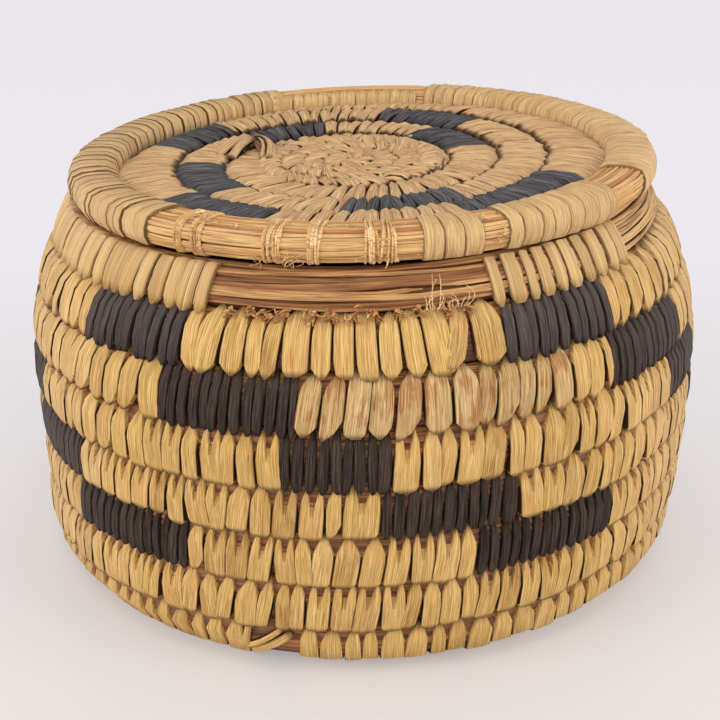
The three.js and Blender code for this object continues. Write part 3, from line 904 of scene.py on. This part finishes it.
def layStem(parts, model, point, line):
    # a stem that runs along a rim; its middle is given by azimuth, x lies across it and y outwards
    x, y, z = (model["points"][None, :, k] for k in range(3))
    azimuth = line["start"] + z * (line["end"] - line["start"])
    across, outwards = line["middle"](azimuth)
    taper = np.clip(np.minimum(z, 1 - z) * 60, 0.4, 1)
    points = point(azimuth, across + x * line["half"][0] * taper, outwards + y * line["half"][1] * taper)
    run = azimuth * lidRadius
    places = np.stack([0.5 * x, 0 * x, line["tone"] + 0 * x], -1)
    uv = np.stack([run, np.arctan2(y, x) + 40 * line["tone"]], -1)
    parts.add(points, model["loops"], model["sizes"], places, uv)


def layWraps(parts, model, point, rows, radius):
    # rows: azimuth, width, lean, run of the start, length, lift, tone
    azimuth, width, lean, start, length, lift, tone = (np.asarray(rows, float)[:, k:k + 1] for k in range(7))
    x, y, z = (model["points"][None, :, k] for k in range(3))
    across = x * width / 2
    turn = azimuth + (across + lean * (y - 0.5)) / radius
    run = start + y * length
    points = point(turn, run, z + lift)
    places = np.stack([np.broadcast_to(k, points.shape[:2]) for k in (x, y, tone)], -1)
    uv = np.stack([across + grainShift * tone, run + 0 * across], -1)
    parts.add(points, model["loops"], model["sizes"], places, uv)


def layCurves(parts, model, curves, run=2):
    # curves: three points, the way up, two half sizes and a tone, in millimetres;
    # run is the model's axis that follows the curve, 2 for a stem and 1 for a strip
    x, y, z = (model["points"][None, :, k, None] for k in ((0, 1, 2) if run == 2 else (0, 2, 1)))
    first, second, third, up = (np.array([curve[k] for curve in curves], float)[:, None] for k in range(4))
    half = np.array([curve[4] for curve in curves], float)[:, None]
    tone = np.array([curve[5] for curve in curves], float)[:, None]
    ahead = (1 - z) * (second - first) + z * (third - second)
    ahead = ahead / np.linalg.norm(ahead, axis=-1, keepdims=True)
    side = np.cross(up + 0 * ahead, ahead)
    side = side / np.linalg.norm(side, axis=-1, keepdims=True)
    rise = np.cross(ahead, side)
    middle = (1 - z) ** 2 * first + 2 * z * (1 - z) * second + z ** 2 * third
    taper = 1 - 0.55 * z if run == 2 else 1
    points = middle + side * x * half[..., :1] * taper + rise * y * half[..., 1:] * taper
    flat = [k[..., 0] for k in (x, z)]
    places = np.stack([np.broadcast_to(k, points.shape[:2]) for k in (*flat, tone)], -1)
    length = np.linalg.norm(third - first, axis=-1)
    uv = np.stack([flat[0] * half[..., 0] + grainShift * tone, flat[1] * length], -1)
    parts.add(points * mm, model["loops" if run == 2 else "reversed"], model["sizes"], places, uv)


# The body's rim: bare stems, sewn over at the left, the right and the back
bodyRim = dict(
    start=-168, outside=12, inside=6, top=3, half=0.52, depth=0.66, out=4.1, wander=0.42,
    split=dict(azimuth=8, width=4.5, reach=0.75, level=3.5),
    roundTop=2.6, face=1.02, foot=2.5, topLow=0.45, sideShare=0.42, topShare=0.16,
)


def wrapped(azimuth, wraps):
    # 1 where a rim is wrapped all round, 0 where it is bare
    degrees = (np.degrees(azimuth) + 180) % 360 - 180
    inside = [np.minimum(degrees - w["start"], w["end"] - degrees) for w in wraps]
    return np.max([np.clip(depth / 2, 0, 1) for depth in inside], axis=0)


bodyWraps = dict(
    left=dict(
        start=-160, end=-24.2, step=4.5, spread=0.16, width=0.96, lean=3,
        kinds=["rimCord", "rimCord", "wrap"]),
    right=dict(
        start=19.7, end=52, step=4.9, spread=0.25, width=0.8, lean=-2.2,
        kinds=["wrap", "rimCord", "ragged"]),
    back=dict(
        start=104, end=140, step=4.6, spread=0.15, width=0.96, lean=2, kinds=["wrap", "rimCord"]),
)


def rimStemLine(level, count, side):
    phase, beat = chance.uniform(0, 6, 2)
    split = bodyRim["split"]

    def middle(azimuth):
        low, high = turnEdges(bodyCoil, azimuth)
        high = high - body["turnGap"] - bodyRim["topLow"]
        room = np.clip((high - low) / body["rimHeight"], 0.2, 1.5)
        share = (level + 0.5) / count
        along = low + 0.6 + share * (high - low - 1.2)
        along = along + bodyRim["wander"] * np.sin(azimuth * (3 + beat) + phase) * room
        if side > 0:
            push = np.exp(-((np.degrees(azimuth) - split["azimuth"]) / split["width"]) ** 2)
            away = level - split["level"]
            along = along + push * split["reach"] * np.sign(away) / (1 + abs(away))
        out = bodyRim["out"] - 1.6 * abs(2 * share - 1) ** 5 + 0.12 * np.sin(azimuth * (5 + beat) + 2 * phase)
        out = out - 0.9 * wrapped(azimuth, [bodyWraps["left"], bodyWraps["back"]])
        return along, side * out
    return middle


def topStemLine(level):
    def middle(azimuth):
        high = seatAlong(azimuth) - bodyRim["topLow"] - 0.8 - 0.9 * wrapped(azimuth, bodyWraps.values())
        return high, (level - 1) * 2.1 + 0.2 * np.sin(5 * azimuth + level) + 0 * azimuth
    return middle


rimParts = MeshParts()
for side, count in ((1, bodyRim["outside"]), (-1, bodyRim["inside"])):
    for level in range(count):
        start = math.radians(bodyRim["start"]) + 0.03 * chance.uniform()
        end = tailEnd - 0.25 * chance.uniform()
        if side > 0 and level == 4:  # the stem that has snapped in the split
            layStem(rimParts, rimStem, bodyPoint, dict(
                start=start, end=math.radians(9.5), middle=rimStemLine(level, count, side),
                half=(0.62, 0.6), tone=0.4))
            start = math.radians(12.5)
        layStem(rimParts, rimStem, bodyPoint, dict(
            start=start, end=end, middle=rimStemLine(level, count, side),
            half=(bodyRim["half"] * (1 if side > 0 else 1.25) * chance.uniform(0.85, 1.1), bodyRim["depth"]),
            tone=chance.uniform(0.05, 0.95)))
for level in range(bodyRim["top"]):
    layStem(rimParts, rimStem, bodyPoint, dict(
        start=math.radians(bodyRim["start"]), end=tailEnd - 0.2, middle=topStemLine(level), half=(0.8, 1.05),
        tone=chance.uniform(0, 0.2)))
attach(rimParts.build("rim_stems", shadedStem), "basket_body")


def overRim(azimuth, run, outwards):
    # run 0 to 1: up the outside of the rim, over its top and down the inside
    low, high = turnEdges(bodyCoil, azimuth)
    high = high - body["turnGap"]
    crest = high - bodyRim["roundTop"]
    face = bodyRim["face"] * halfWall
    sideShare, topShare = bodyRim["sideShare"], bodyRim["topShare"]
    rise = np.clip(run / sideShare, 0, 1)
    fall = np.clip((1 - run) / sideShare, 0, 1)
    arc = np.clip((run - sideShare) / topShare, 0, 1) * math.pi
    foot = low - bodyRim["foot"]
    up = np.where(run < 0.5, rise, fall)
    belly = face * (0.78 + 0.22 * np.sin(np.clip(up * 1.35, 0, 1) * math.pi / 2))
    straight = np.where(run < 0.5, 1, -1) * (belly + outwards)
    curved = (face + outwards) * np.cos(arc)
    onArc = (run > sideShare) & (run < sideShare + topShare)
    along = np.where(onArc, crest + (bodyRim["roundTop"] - bodyRim["topLow"] + outwards) * np.sin(arc),
                     foot + (crest - foot) * up)
    return bodyPoint(azimuth, along, np.where(onArc, curved, straight))


def wrapRows(wraps, rimRadius):
    # the strips of one wrapped stretch, side by side from its start to its end, and the model of each
    rows, models, azimuth = [], [], math.radians(wraps["start"])
    step, fill, kinds = wraps["step"] / rimRadius, wraps["width"] * rimRadius, wraps["kinds"]
    while azimuth < math.radians(wraps["end"]) - 0.3 * step:
        size = step * (1 + wraps["spread"] * chance.uniform(-1, 1))
        width = size * fill * (1 + 0.08 * chance.normal())
        lean = wraps["lean"] * (1 + 0.3 * chance.normal())
        rows.append([azimuth + size / 2, width, lean, 0, 1, 0.1 * chance.normal(), chance.uniform()])
        models.append(kinds[int(chance.integers(len(kinds)))])
        azimuth += size
    return rows, models


def buildWraps(name, point, rows, models, radius, bodyName, node, finish=wrapStrip):
    parts = MeshParts()
    for model in sorted(set(models)):
        chosen = [row for row, own in zip(rows, models) if own == model]
        layWraps(parts, leaf[model], point, chosen, radius)
    attach(parts.build(name, finish), bodyName, node)


for place, wraps in bodyWraps.items():
    rows, models = wrapRows(wraps, seatRadius)
    buildWraps(f"rim_sewing_{place}", overRim, rows, models, seatRadius, "basket_body",
               f"rim_wrapping_{place}")
print("body rim built")

# The lid's rim: a section with rounded corners, followed by its length from the foot of the outer side
sectionSteps = 721
rimHalf = ((lidRadius - lidRimInner) / 2 - 0.55, lid["rimHeight"] / 2 - 0.45)
sectionAngle = np.linspace(-0.5, fullTurn - 0.5, sectionSteps)
sectionPlace = np.stack([half * np.sign(wave) * np.abs(wave) ** 0.62
                         for half, wave in zip(rimHalf, (np.cos(sectionAngle), np.sin(sectionAngle)))])
sectionRun = np.concatenate([[0], np.cumsum(np.linalg.norm(np.diff(sectionPlace), axis=0))])
sectionLength = sectionRun[-1]
sectionSlope = np.gradient(sectionPlace, sectionRun + 1e-6 * np.arange(sectionSteps), axis=1)
sectionScale = np.maximum(np.linalg.norm(sectionSlope, axis=0), 1e-6)
sectionOut = np.stack([sectionSlope[1], -sectionSlope[0]]) / sectionScale


def onRim(azimuth, run, outwards):
    run = np.mod(run, sectionLength)
    place = []
    for flat, out in zip(sectionPlace, sectionOut):
        place.append(np.interp(run, sectionRun, flat) + outwards * np.interp(run, sectionRun, out))
    return rimPoint(azimuth, *place)


lidWraps = dict(
    left=dict(start=-159, end=-40, step=4.5, spread=0.4, width=1.03, lean=3, kinds=["band"]),
    right=dict(start=25, end=50, step=5, spread=0.3, width=1.03, lean=1.6, kinds=["band"]),
    back=dict(start=64, end=163, step=4.3, spread=0.4, width=1.03, lean=1.6, kinds=["band"]),
)
lidRimStems = dict(
    start=-258, inset=0.8, least=1.1, most=2.2, height=0.62, wander=0.22,
    widths=(0.9, 1.9, 2.2, 1.6, 1.5, 0.7, 1.3), tones=(0.3, 0.5, 0.56, 0.7, 0.86, 0.02, 0.18),
)


def lidStemLine(run):
    phase, beat = chance.uniform(0, 6, 2)

    def middle(azimuth):
        under = lidRimStems["inset"] + 0.7 * wrapped(azimuth, lidWraps.values())
        return run + lidRimStems["wander"] * np.sin(azimuth * (3 + beat) + phase), -under
    return middle


lidRimParts = MeshParts()
run, index = 0, 0
while run < sectionLength - 0.6:
    if index < len(lidRimStems["widths"]):
        width, tone = lidRimStems["widths"][index], lidRimStems["tones"][index]
    else:
        width = chance.uniform(lidRimStems["least"], lidRimStems["most"])
        tone = chance.uniform(0.15, 0.95)
    start = math.radians(lidRimStems["start"]) + 0.05 * chance.uniform()
    layStem(lidRimParts, rimStem, onRim, dict(
        start=start, end=start + fullTurn * 0.993, middle=lidStemLine(run + width / 2),
        half=(width * 0.53, lidRimStems["height"] * (0.8 + 0.2 * width)), tone=tone))
    run, index = run + width, index + 1
# a core that closes the gaps between the stems; it takes the lowest tone, painted shade in the gaps
core = modelStem(20, 90)
coreLook = dict(inset=1.3, tone=0.02, grain=5)
x, y, z = (core["points"][None, :, k] for k in range(3))
turn = math.radians(lidRimStems["start"]) + z * fullTurn * 0.996
around = np.mod(np.arctan2(y, x), fullTurn) / fullTurn * sectionLength
corePlaces = np.stack([0 * x, 0 * x, coreLook["tone"] + 0 * x], -1)
coreMap = np.stack([turn * lidRadius, coreLook["grain"] * np.arctan2(y, x)], -1)
lidRimParts.add(onRim(turn, around, -coreLook["inset"]), core["loops"], core["sizes"], corePlaces, coreMap)
attach(lidRimParts.build("lid_rim_stems", grassStem), "lid", "lid_rim_bundle")

# Strips round the lid's rim: where they start on the section and how far they go, in shares of its length,
# and their lift in millimetres
rimRuns = dict(
    whole=dict(start=0.72, length=1.03, lift=0.5),
    inner=dict(start=0.44, length=0.6, lift=0.4),
    thin=dict(start=0.72, length=1.01, lift=0.3),
)


def runOnSection(rows, kind):
    reach = rimRuns[kind]
    for row in rows:
        row[3], row[4] = sectionLength * reach["start"], sectionLength * reach["length"]
        row[5] += reach["lift"]


for place, wraps in lidWraps.items():
    rows, models = wrapRows(wraps, lidRadius)
    runOnSection(rows, "whole")
    buildWraps(f"lid_rim_sewing_{place}", onRim, rows, models, lidRadius, "lid",
               f"lid_rim_wrapping_{place}")

# short strips that show inside the rim at the back
innerWraps = dict(start=165, end=206, step=4.2, spread=0.3, width=1.15, lean=2.4, kinds=["wrap"])
rows, models = wrapRows(innerWraps, lidRadius)
runOnSection(rows, "inner")
buildWraps("lid_rim_inner_sewing", onRim, rows, models, lidRadius, "lid", None)

wideWraps = dict(spans=[(10.3, 13.3), (13.7, 16.7), (17.1, 20.1)], fill=1.2, lean=0.4)
for number, (start, end) in enumerate(wideWraps["spans"], 1):
    rows = [[math.radians((start + end) / 2), math.radians(end - start) * lidRadius * wideWraps["fill"],
             wideWraps["lean"] * chance.normal(), 0, 1, 0, chance.uniform(0.3, 0.7)]]
    runOnSection(rows, "whole")
    buildWraps(f"lid_wide_band_{number}", onRim, rows, ["wrap"], lidRadius, "lid",
               f"lid_rim_wide_wrap_{number}")

thinWraps = dict(
    spans=[(-33.6, -31.5), (-30, -27.8), (-16.6, -13.6), (-9.1, -6.7), (0.4, 2.3), (3.4, 5.4)],
    strands=[4, 5, 7, 6, 5, 4], lean=1.6,
)
for number, ((start, end), strands) in enumerate(zip(thinWraps["spans"], thinWraps["strands"]), 1):
    rows = []
    for strand in range(strands):
        middle = start + (strand + 0.5) / strands * (end - start) + 0.2 * chance.normal()
        rows.append([math.radians(middle), chance.uniform(0.6, 1.3), thinWraps["lean"] * chance.normal(),
                     0, 1, 0.25 * chance.uniform(), chance.uniform(0.5, 1)])
    runOnSection(rows, "thin")
    buildWraps(f"lid_thin_binding_{number}", onRim, rows, ["strand"] * strands, lidRadius, "lid",
               f"lid_rim_thin_wrap_{number}", fibreShred)
print("lid rim built")

# Sewing of the lid's disc
lidSewing = dict(
    sizes=dict(light=dict(width=3.9, spread=0.26), dark=dict(width=3.3, spread=0.14)),
    lean=(-3.5, -5), reachLow=(0.12, 0.12), reachHigh=(1.06, 1.06), pull=(0.5, 0.5), forkWidth=(99, 99),
    fill=(1.03, 1.03), footReach=0, edgeReach=0.16, leaves="lidLeaf", innerWidth=0.72,
    slant=dict(azimuths=[0], chances=[.3]),
)
lidSpans = []
for block in lidBlocks:
    centre = math.radians(block["centre"]) - (block["ring"] - 1) * fullTurn
    half = math.radians(block["span"]) / 2
    lidSpans.append(dict(name=f"{block['ring']}_{block['place']}", start=centre - half, end=centre + half))
lidPlaces = stripPlaces(discCoil, discStart, discEnd, [(s["start"], s["end"]) for s in lidSpans], lidSewing)
for p in lidPlaces:
    if p["dark"] is not None:
        p["group"] = f"lid_dark_sewing_{lidSpans[p['dark']]['name']}"
    else:
        p["group"] = f"lid_light_sewing_turn_{1 - round(p['centre'] / fullTurn)}"
lidSewn = sewPieces(discCoil, lidPlaces, lidSewing, "lid")
for span in lidSpans:
    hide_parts(f"lid_dark_ring_{span['name']}")
print("lid sewn:", len(lidPlaces), "stitches")

# The middle of the lid and of the base: a few strips crossed over the start of the coil
centreSewing = dict(strips=11, reach=8.5, past=2.5, width=3.2, rise=4.3, dome=1.6)


def sewCentre(name, node, bodyName, place, flip):
    parts = MeshParts()
    for side in (1, -1):
        for strip in range(centreSewing["strips"]):
            model = leaf["pointed"]
            x, y, z = (model["points"][None, :, k] for k in range(3))
            angle = fullTurn * (strip + 0.3 * chance.uniform()) / centreSewing["strips"]
            along = -centreSewing["past"] + y * (centreSewing["past"] + centreSewing["reach"])
            aside = x * centreSewing["width"] / 2
            dome = centreSewing["rise"] - centreSewing["dome"] * (along / centreSewing["reach"]) ** 2
            height = side * (dome + z + 0.09 * strip)
            points = place(along * math.sin(angle) + aside * math.cos(angle),
                           aside * math.sin(angle) - along * math.cos(angle), height)
            tone = chance.uniform()
            places = np.stack([np.broadcast_to(k, points.shape[:2]) for k in (x, y, tone)], -1)
            turned = (side < 0) ^ flip
            parts.add(points, model["reversed" if turned else "loops"], model["sizes"], places,
                      np.stack([aside + grainShift * tone, along], -1))
    attach(parts.build(name, strawStrip), bodyName, node)


def discPlace(x, y, out):
    return lidPoint(lid["poleOffset"] + x, y, discLevel(np.hypot(x, y)) + out)


def basePlace(x, y, out):
    height = np.maximum(edgeHeight - edgeArc - out, 0.05)
    return np.stack([x - body["sway"], y, height], -1) * mm


sewCentre("lid_centre_sewing", "lid_knot", "lid", discPlace, True)
sewCentre("base_centre_sewing", "base_knot", "basket_body", basePlace, False)

# The first turns of the lid's coil are finer and rougher than the rest
firstTurns = dict(rings=[5, 11.5, 18.5, 25.5], reach=3.9, width=2.6, lean=6, foot=4.3, crest=7.6)
# a stitch rises from its foot to its crest and goes down again: place along, side, height
turnLine = (
    (-1, -0.5, firstTurns["foot"]),
    (0.1, 0, firstTurns["crest"]),
    (1, 0.5, firstTurns["foot"]),
)
turnParts = MeshParts()
turnCurves = []
for radius in firstTurns["rings"]:
    count = int(fullTurn * radius / firstTurns["width"])
    for stitch in range(count):
        angle = fullTurn * (stitch + 0.25 * chance.normal()) / count
        swirl = firstTurns["lean"] / radius * chance.uniform(0.6, 1.3)
        line = []
        for along, way, out in turnLine:
            spot = radius + along * firstTurns["reach"] * chance.uniform(0.85, 1.1)
            turn = angle + way * swirl
            rough = out + 0.35 * chance.normal()
            line.append(lidPoint(lid["poleOffset"] + spot * math.sin(turn), -spot * math.cos(turn),
                                 discLevel(spot) + rough) / mm)
        half = firstTurns["width"] * 0.64 * chance.uniform(0.8, 1.2)
        turnCurves.append((*line, (0, 0, 1), (half, 1), chance.uniform()))
layCurves(turnParts, leaf["lidLeaf"], turnCurves, run=1)
attach(turnParts.build("lid_first_turns_sewing", lidStraw), "lid")


# Frayed ends at the foot of the body's bare stems, at the stitches of row 1 between these azimuths in radians
frayStretch = dict(start=-0.41, end=0.35)
# Pale fibres that stand up in front of the stems: azimuths in degrees, and the greatest height of each group
standing = dict(
    azimuths=(9.6, 9.9, 10.4, 10.6, 11, 11.4, 11.7, 12.2, 13.4, 13.9, 14.3, 14.8, 15.2, 15.7, 16.2),
    tallUntil=12, tall=10, low=6,
)


def unit(azimuth):
    return np.array([math.sin(azimuth), -math.cos(azimuth), 0])


frayParts = MeshParts()
frays = []
rowStarts = [p["start"] + fullTurn for p in places]
for azimuth in [start for start in rowStarts if frayStretch["start"] < start < frayStretch["end"]]:
    low = float(turnEdges(bodyCoil, azimuth)[0])
    for strand in range(int(chance.integers(9, 15))):
        place = azimuth + 0.008 * chance.normal()
        root = bodyPoint(place, low + 0.6 * chance.normal() - 0.4, 3.6) / mm
        away = unit(place) * chance.uniform(1.2, 3)
        away = away + (*(1.3 * chance.normal(size=2)), chance.uniform(-1.4, 2))
        tip = root + unit(place) * chance.uniform(0.6, 2)
        tip = tip + (1.4 * chance.normal(), 0, chance.uniform(-2.6, 1))
        half = chance.uniform(0.25, 0.7)
        frays.append((root, root + away, tip, (0.2, 0.1, 1), (half, 0.4 * half), chance.uniform(0, 0.6)))
for azimuth in standing["azimuths"]:
    place = math.radians(azimuth)
    tallest = standing["tall"] if azimuth < standing["tallUntil"] else standing["low"]
    low = float(turnEdges(bodyCoil, place)[0])
    root = bodyPoint(place, low - 0.8, 4.6) / mm
    tip = root + unit(place) * 0.4 + (1.6 * chance.normal(), 0, chance.uniform(2, tallest))
    bend = unit(place) * chance.uniform(0.8, 2.2) + (1.4 * chance.normal(), 0, 1)
    frays.append((root, (root + tip) / 2 + bend, tip, (0.2, 1, 0.1), (0.15, 0.11), chance.uniform(0.7, 1)))
layCurves(frayParts, fibre, frays)
attach(frayParts.build("rim_frays", fibreShred), "basket_body")

lidFrays = []


def rimSpot(degrees, run, out):
    return onRim(math.radians(degrees), np.asarray(run), out) / mm


def addTangle(degrees, spread, run, count, length, tones):
    flat = (1, 0.2, 1)  # a tangle is shallow from front to back
    for strand in range(count):
        place = degrees + spread * chance.normal()
        root = rimSpot(place, run + 0.8 * chance.normal(), 0.2)
        outwards = unit(math.radians(place))
        middle = root + outwards * chance.uniform(0.3, 1.1)
        middle = middle + 0.5 * length * chance.normal(size=3) * flat
        tip = middle + outwards * chance.uniform(-0.3, 0.7)
        tip = tip + 0.5 * length * chance.normal(size=3) * flat
        half = (chance.uniform(0.1, 0.26), 0.1)
        lidFrays.append((root, middle, tip, (0.2, 0.1, 1), half, chance.uniform(*tones)))


# Tangles of fibre on the lid's rim: azimuth and its spread in degrees, run along the section, number of
# fibres, length and tones
bottomRun, topRun = 0.5, sectionLength * 0.29
tangles = [
    (-11.5, 1.2, bottomRun + 0.6, 26, 2.6, (0.5, 1)),
    (-18, 0.6, bottomRun, 9, 2.2, (0.7, 1)),
    (-29, 3, topRun - 1.5, 22, 2.4, (0.5, 1)),
    (-12, 6, topRun, 14, 2.0, (0.6, 1)),
    (0, 3.5, topRun, 14, 2.2, (0.6, 1)),
    (3, 5, bottomRun, 9, 1.6, (0.4, 1)),
    (21.5, 1, topRun - 1, 12, 1.8, (0.5, 1)),
    (23.3, 0.5, 4, 14, 1.7, (0.85, 1)),
    (47, 2, topRun, 12, 1.6, (0.3, 0.8)),
    (155, 6, topRun + 4, 24, 2.4, (0.5, 1)),
]
for tangle in tangles:
    addTangle(*tangle)
lidFrayParts = MeshParts()
layCurves(lidFrayParts, fibre, lidFrays)
attach(lidFrayParts.build("lid_frays", fibreShred), "lid")


# At the foot a few stitches are gone, and a loose strip slants over the bare stems
def footSpot(degrees, share, out):
    turn = math.radians(degrees) - brokenFoot["turn"] * fullTurn
    low, high = turnEdges(bodyCoil, turn)
    return bodyPoint(turn, low + share * (high - low), out) / mm


footParts = MeshParts()
footUp = tuple(unit(math.radians(-15)))
footCurves = [
    (footSpot(-19, 0.35, 4.6), footSpot(-15, 0.6, 7.8), footSpot(-10.5, 0.85, 4.8), footUp, (1.3, 0.9), 0.75),
    (footSpot(-18.6, 0.5, 4.8), footSpot(-15, 0.7, 7.4), footSpot(-12, 0.95, 4.6), footUp, (0.9, 0.8), 0.95),
    (footSpot(-19.6, 0.98, 4), footSpot(-18.4, 0.6, 8), footSpot(-19, 0.24, 5), footUp, (1.5, 0.9), 0.5),
    (footSpot(-17.6, 0.98, 4), footSpot(-18, 0.6, 8.2), footSpot(-18.6, 0.24, 5), footUp, (1.1, 0.9), 0.3),
]
layCurves(footParts, leaf["cord"], footCurves, run=1)
attach(footParts.build("foot_loose_strip", strawStrip), "basket_body")

# The strip that has folded up near the lid's middle
foldParts = MeshParts()
foldHead = discPlace(-32, 22, 7) / mm
foldCurves = [
    (discPlace(-43, 5, 5) / mm, discPlace(-38, 15, 9.5) / mm, foldHead, (0.3, -0.3, 1), (1.7, 0.9), 0.4),
    (discPlace(-38, 4, 5) / mm, discPlace(-35, 12, 9) / mm, foldHead, (0.3, -0.3, 1), (1.5, 0.9), 0.8),
    (foldHead, discPlace(-23, 15, 10.5) / mm, discPlace(-25, -1, 5.5) / mm, (0.8, 0.2, 1), (2, 0.9), 0.5),
    (foldHead, discPlace(-25, 13, 11) / mm, discPlace(-28, 0, 5) / mm, (0.3, -0.2, 1), (1.3, 0.8), 0.1),
]
layCurves(foldParts, leaf["cord"], foldCurves, run=1)
attach(foldParts.build("lid_folded_strip", lidStraw), "lid")
print("frayed ends placed")

# Floor, light and camera
view = dict(
    distance=430, elevation=23.936, height=49.635, roll=-0.52, focal=1275.9, aside=3.775, frameWidth=720,
)
softboxes = dict(
    top=dict(place=(0.05, -0.1, 1.0), size=0.7, power=2.7, colour=(1, 0.98, 0.95)),
    front=dict(place=(0.1, -0.95, 0.55), size=0.5, power=2.4, colour=(1, 0.98, 0.96)),
    left=dict(place=(-0.95, -0.45, 0.4), size=0.6, power=7.4, colour=(1, 0.97, 0.93)),
    right=dict(place=(0.95, -0.4, 0.4), size=0.6, power=6.2, colour=(1, 0.97, 0.93)),
)


def makeCamera():
    camera = bpy.data.cameras.new("camera")
    camera.sensor_width = 36
    camera.lens = view["focal"] * camera.sensor_width / view["frameWidth"]
    camera.shift_x = -view["aside"] / view["frameWidth"]
    holder = bpy.data.objects.new("camera", camera)
    bpy.context.scene.collection.objects.link(holder)
    tilt, roll = math.radians(view["elevation"]), math.radians(view["roll"])
    back = Vector((0, -math.cos(tilt), math.sin(tilt)))
    side, up = Vector((1, 0, 0)), back.cross(Vector((1, 0, 0)))
    right = side * math.cos(roll) + up * math.sin(roll)
    top = up * math.cos(roll) - side * math.sin(roll)
    turn = Matrix((right, top, back)).transposed().to_4x4()
    place = (Vector((0, 0, view["height"])) + back * view["distance"]) * mm
    holder.matrix_world = Matrix.Translation(place) @ turn
    camera.clip_start = 0.01
    bpy.context.scene.camera = holder


def makeLight(name, place, size, power, colour):
    lamp = bpy.data.lights.new(name, "AREA")
    lamp.size, lamp.energy, lamp.color = size, power, colour
    holder = bpy.data.objects.new(name, lamp)
    bpy.context.scene.collection.objects.link(holder)
    holder.location = place
    aim = Vector((0, 0, 0.06)) - Vector(place)
    holder.rotation_euler = aim.to_track_quat("-Z", "Y").to_euler()


floorColours = dict(near=rgb(217, 212, 210), far=rgb(237, 234, 239), world=rgb(235, 232, 235))


def makeFloor():
    deselectAll()
    bpy.ops.mesh.primitive_circle_add(vertices=64, radius=3, fill_type="NGON", location=(0, 0, 0))
    floor = bpy.context.object
    floor.name = "floor"
    shader = Shader("pale table", Roughness=0.32)
    place = shader.spot(1)
    distance = place.above(-0.2, 0.34) + (0 - place).above(0.4, 0.9)
    colour = shader.mix(distance, floorColours["near"], floorColours["far"])
    shader.tree.links.new(colour.socket, shader.surface.inputs["Base Color"])
    glow = shader.node("ShaderNodeEmission", {}, [colour, 1.0])
    seen = shader.node("ShaderNodeLightPath", {}, [])
    share = seen * (distance * 0.55 + 0.35)
    lit = Socket(shader, shader.surface.outputs[0])
    mixed = shader.node("ShaderNodeMixShader", {}, [share, lit, glow])
    shader.tree.links.new(mixed.socket, shader.tree.nodes["Material Output"].inputs[0])
    floor.data.materials.append(shader.material)


def makeWorld():
    world = bpy.data.worlds.new("soft studio")
    world.use_nodes = True
    bpy.context.scene.world = world
    tree = world.node_tree
    output = tree.nodes["World Output"]
    lighting = tree.nodes["Background"]
    lighting.inputs[0].default_value = (0.95, 0.97, 1, 1)
    lighting.inputs[1].default_value = 0.65
    seen = tree.nodes.new("ShaderNodeBackground")
    seen.inputs[0].default_value = (*floorColours["world"], 1)
    rays = tree.nodes.new("ShaderNodeLightPath")
    mix = tree.nodes.new("ShaderNodeMixShader")
    tree.links.new(rays.outputs["Is Camera Ray"], mix.inputs[0])
    tree.links.new(lighting.outputs[0], mix.inputs[1])
    tree.links.new(seen.outputs[0], mix.inputs[2])
    tree.links.new(mix.outputs[0], output.inputs[0])


makeCamera()
makeFloor()
makeWorld()
for name, softbox in softboxes.items():
    makeLight(f"{name} softbox", **softbox)
bpy.context.scene.view_settings.view_transform = "Standard"
print("camera, floor and light set")
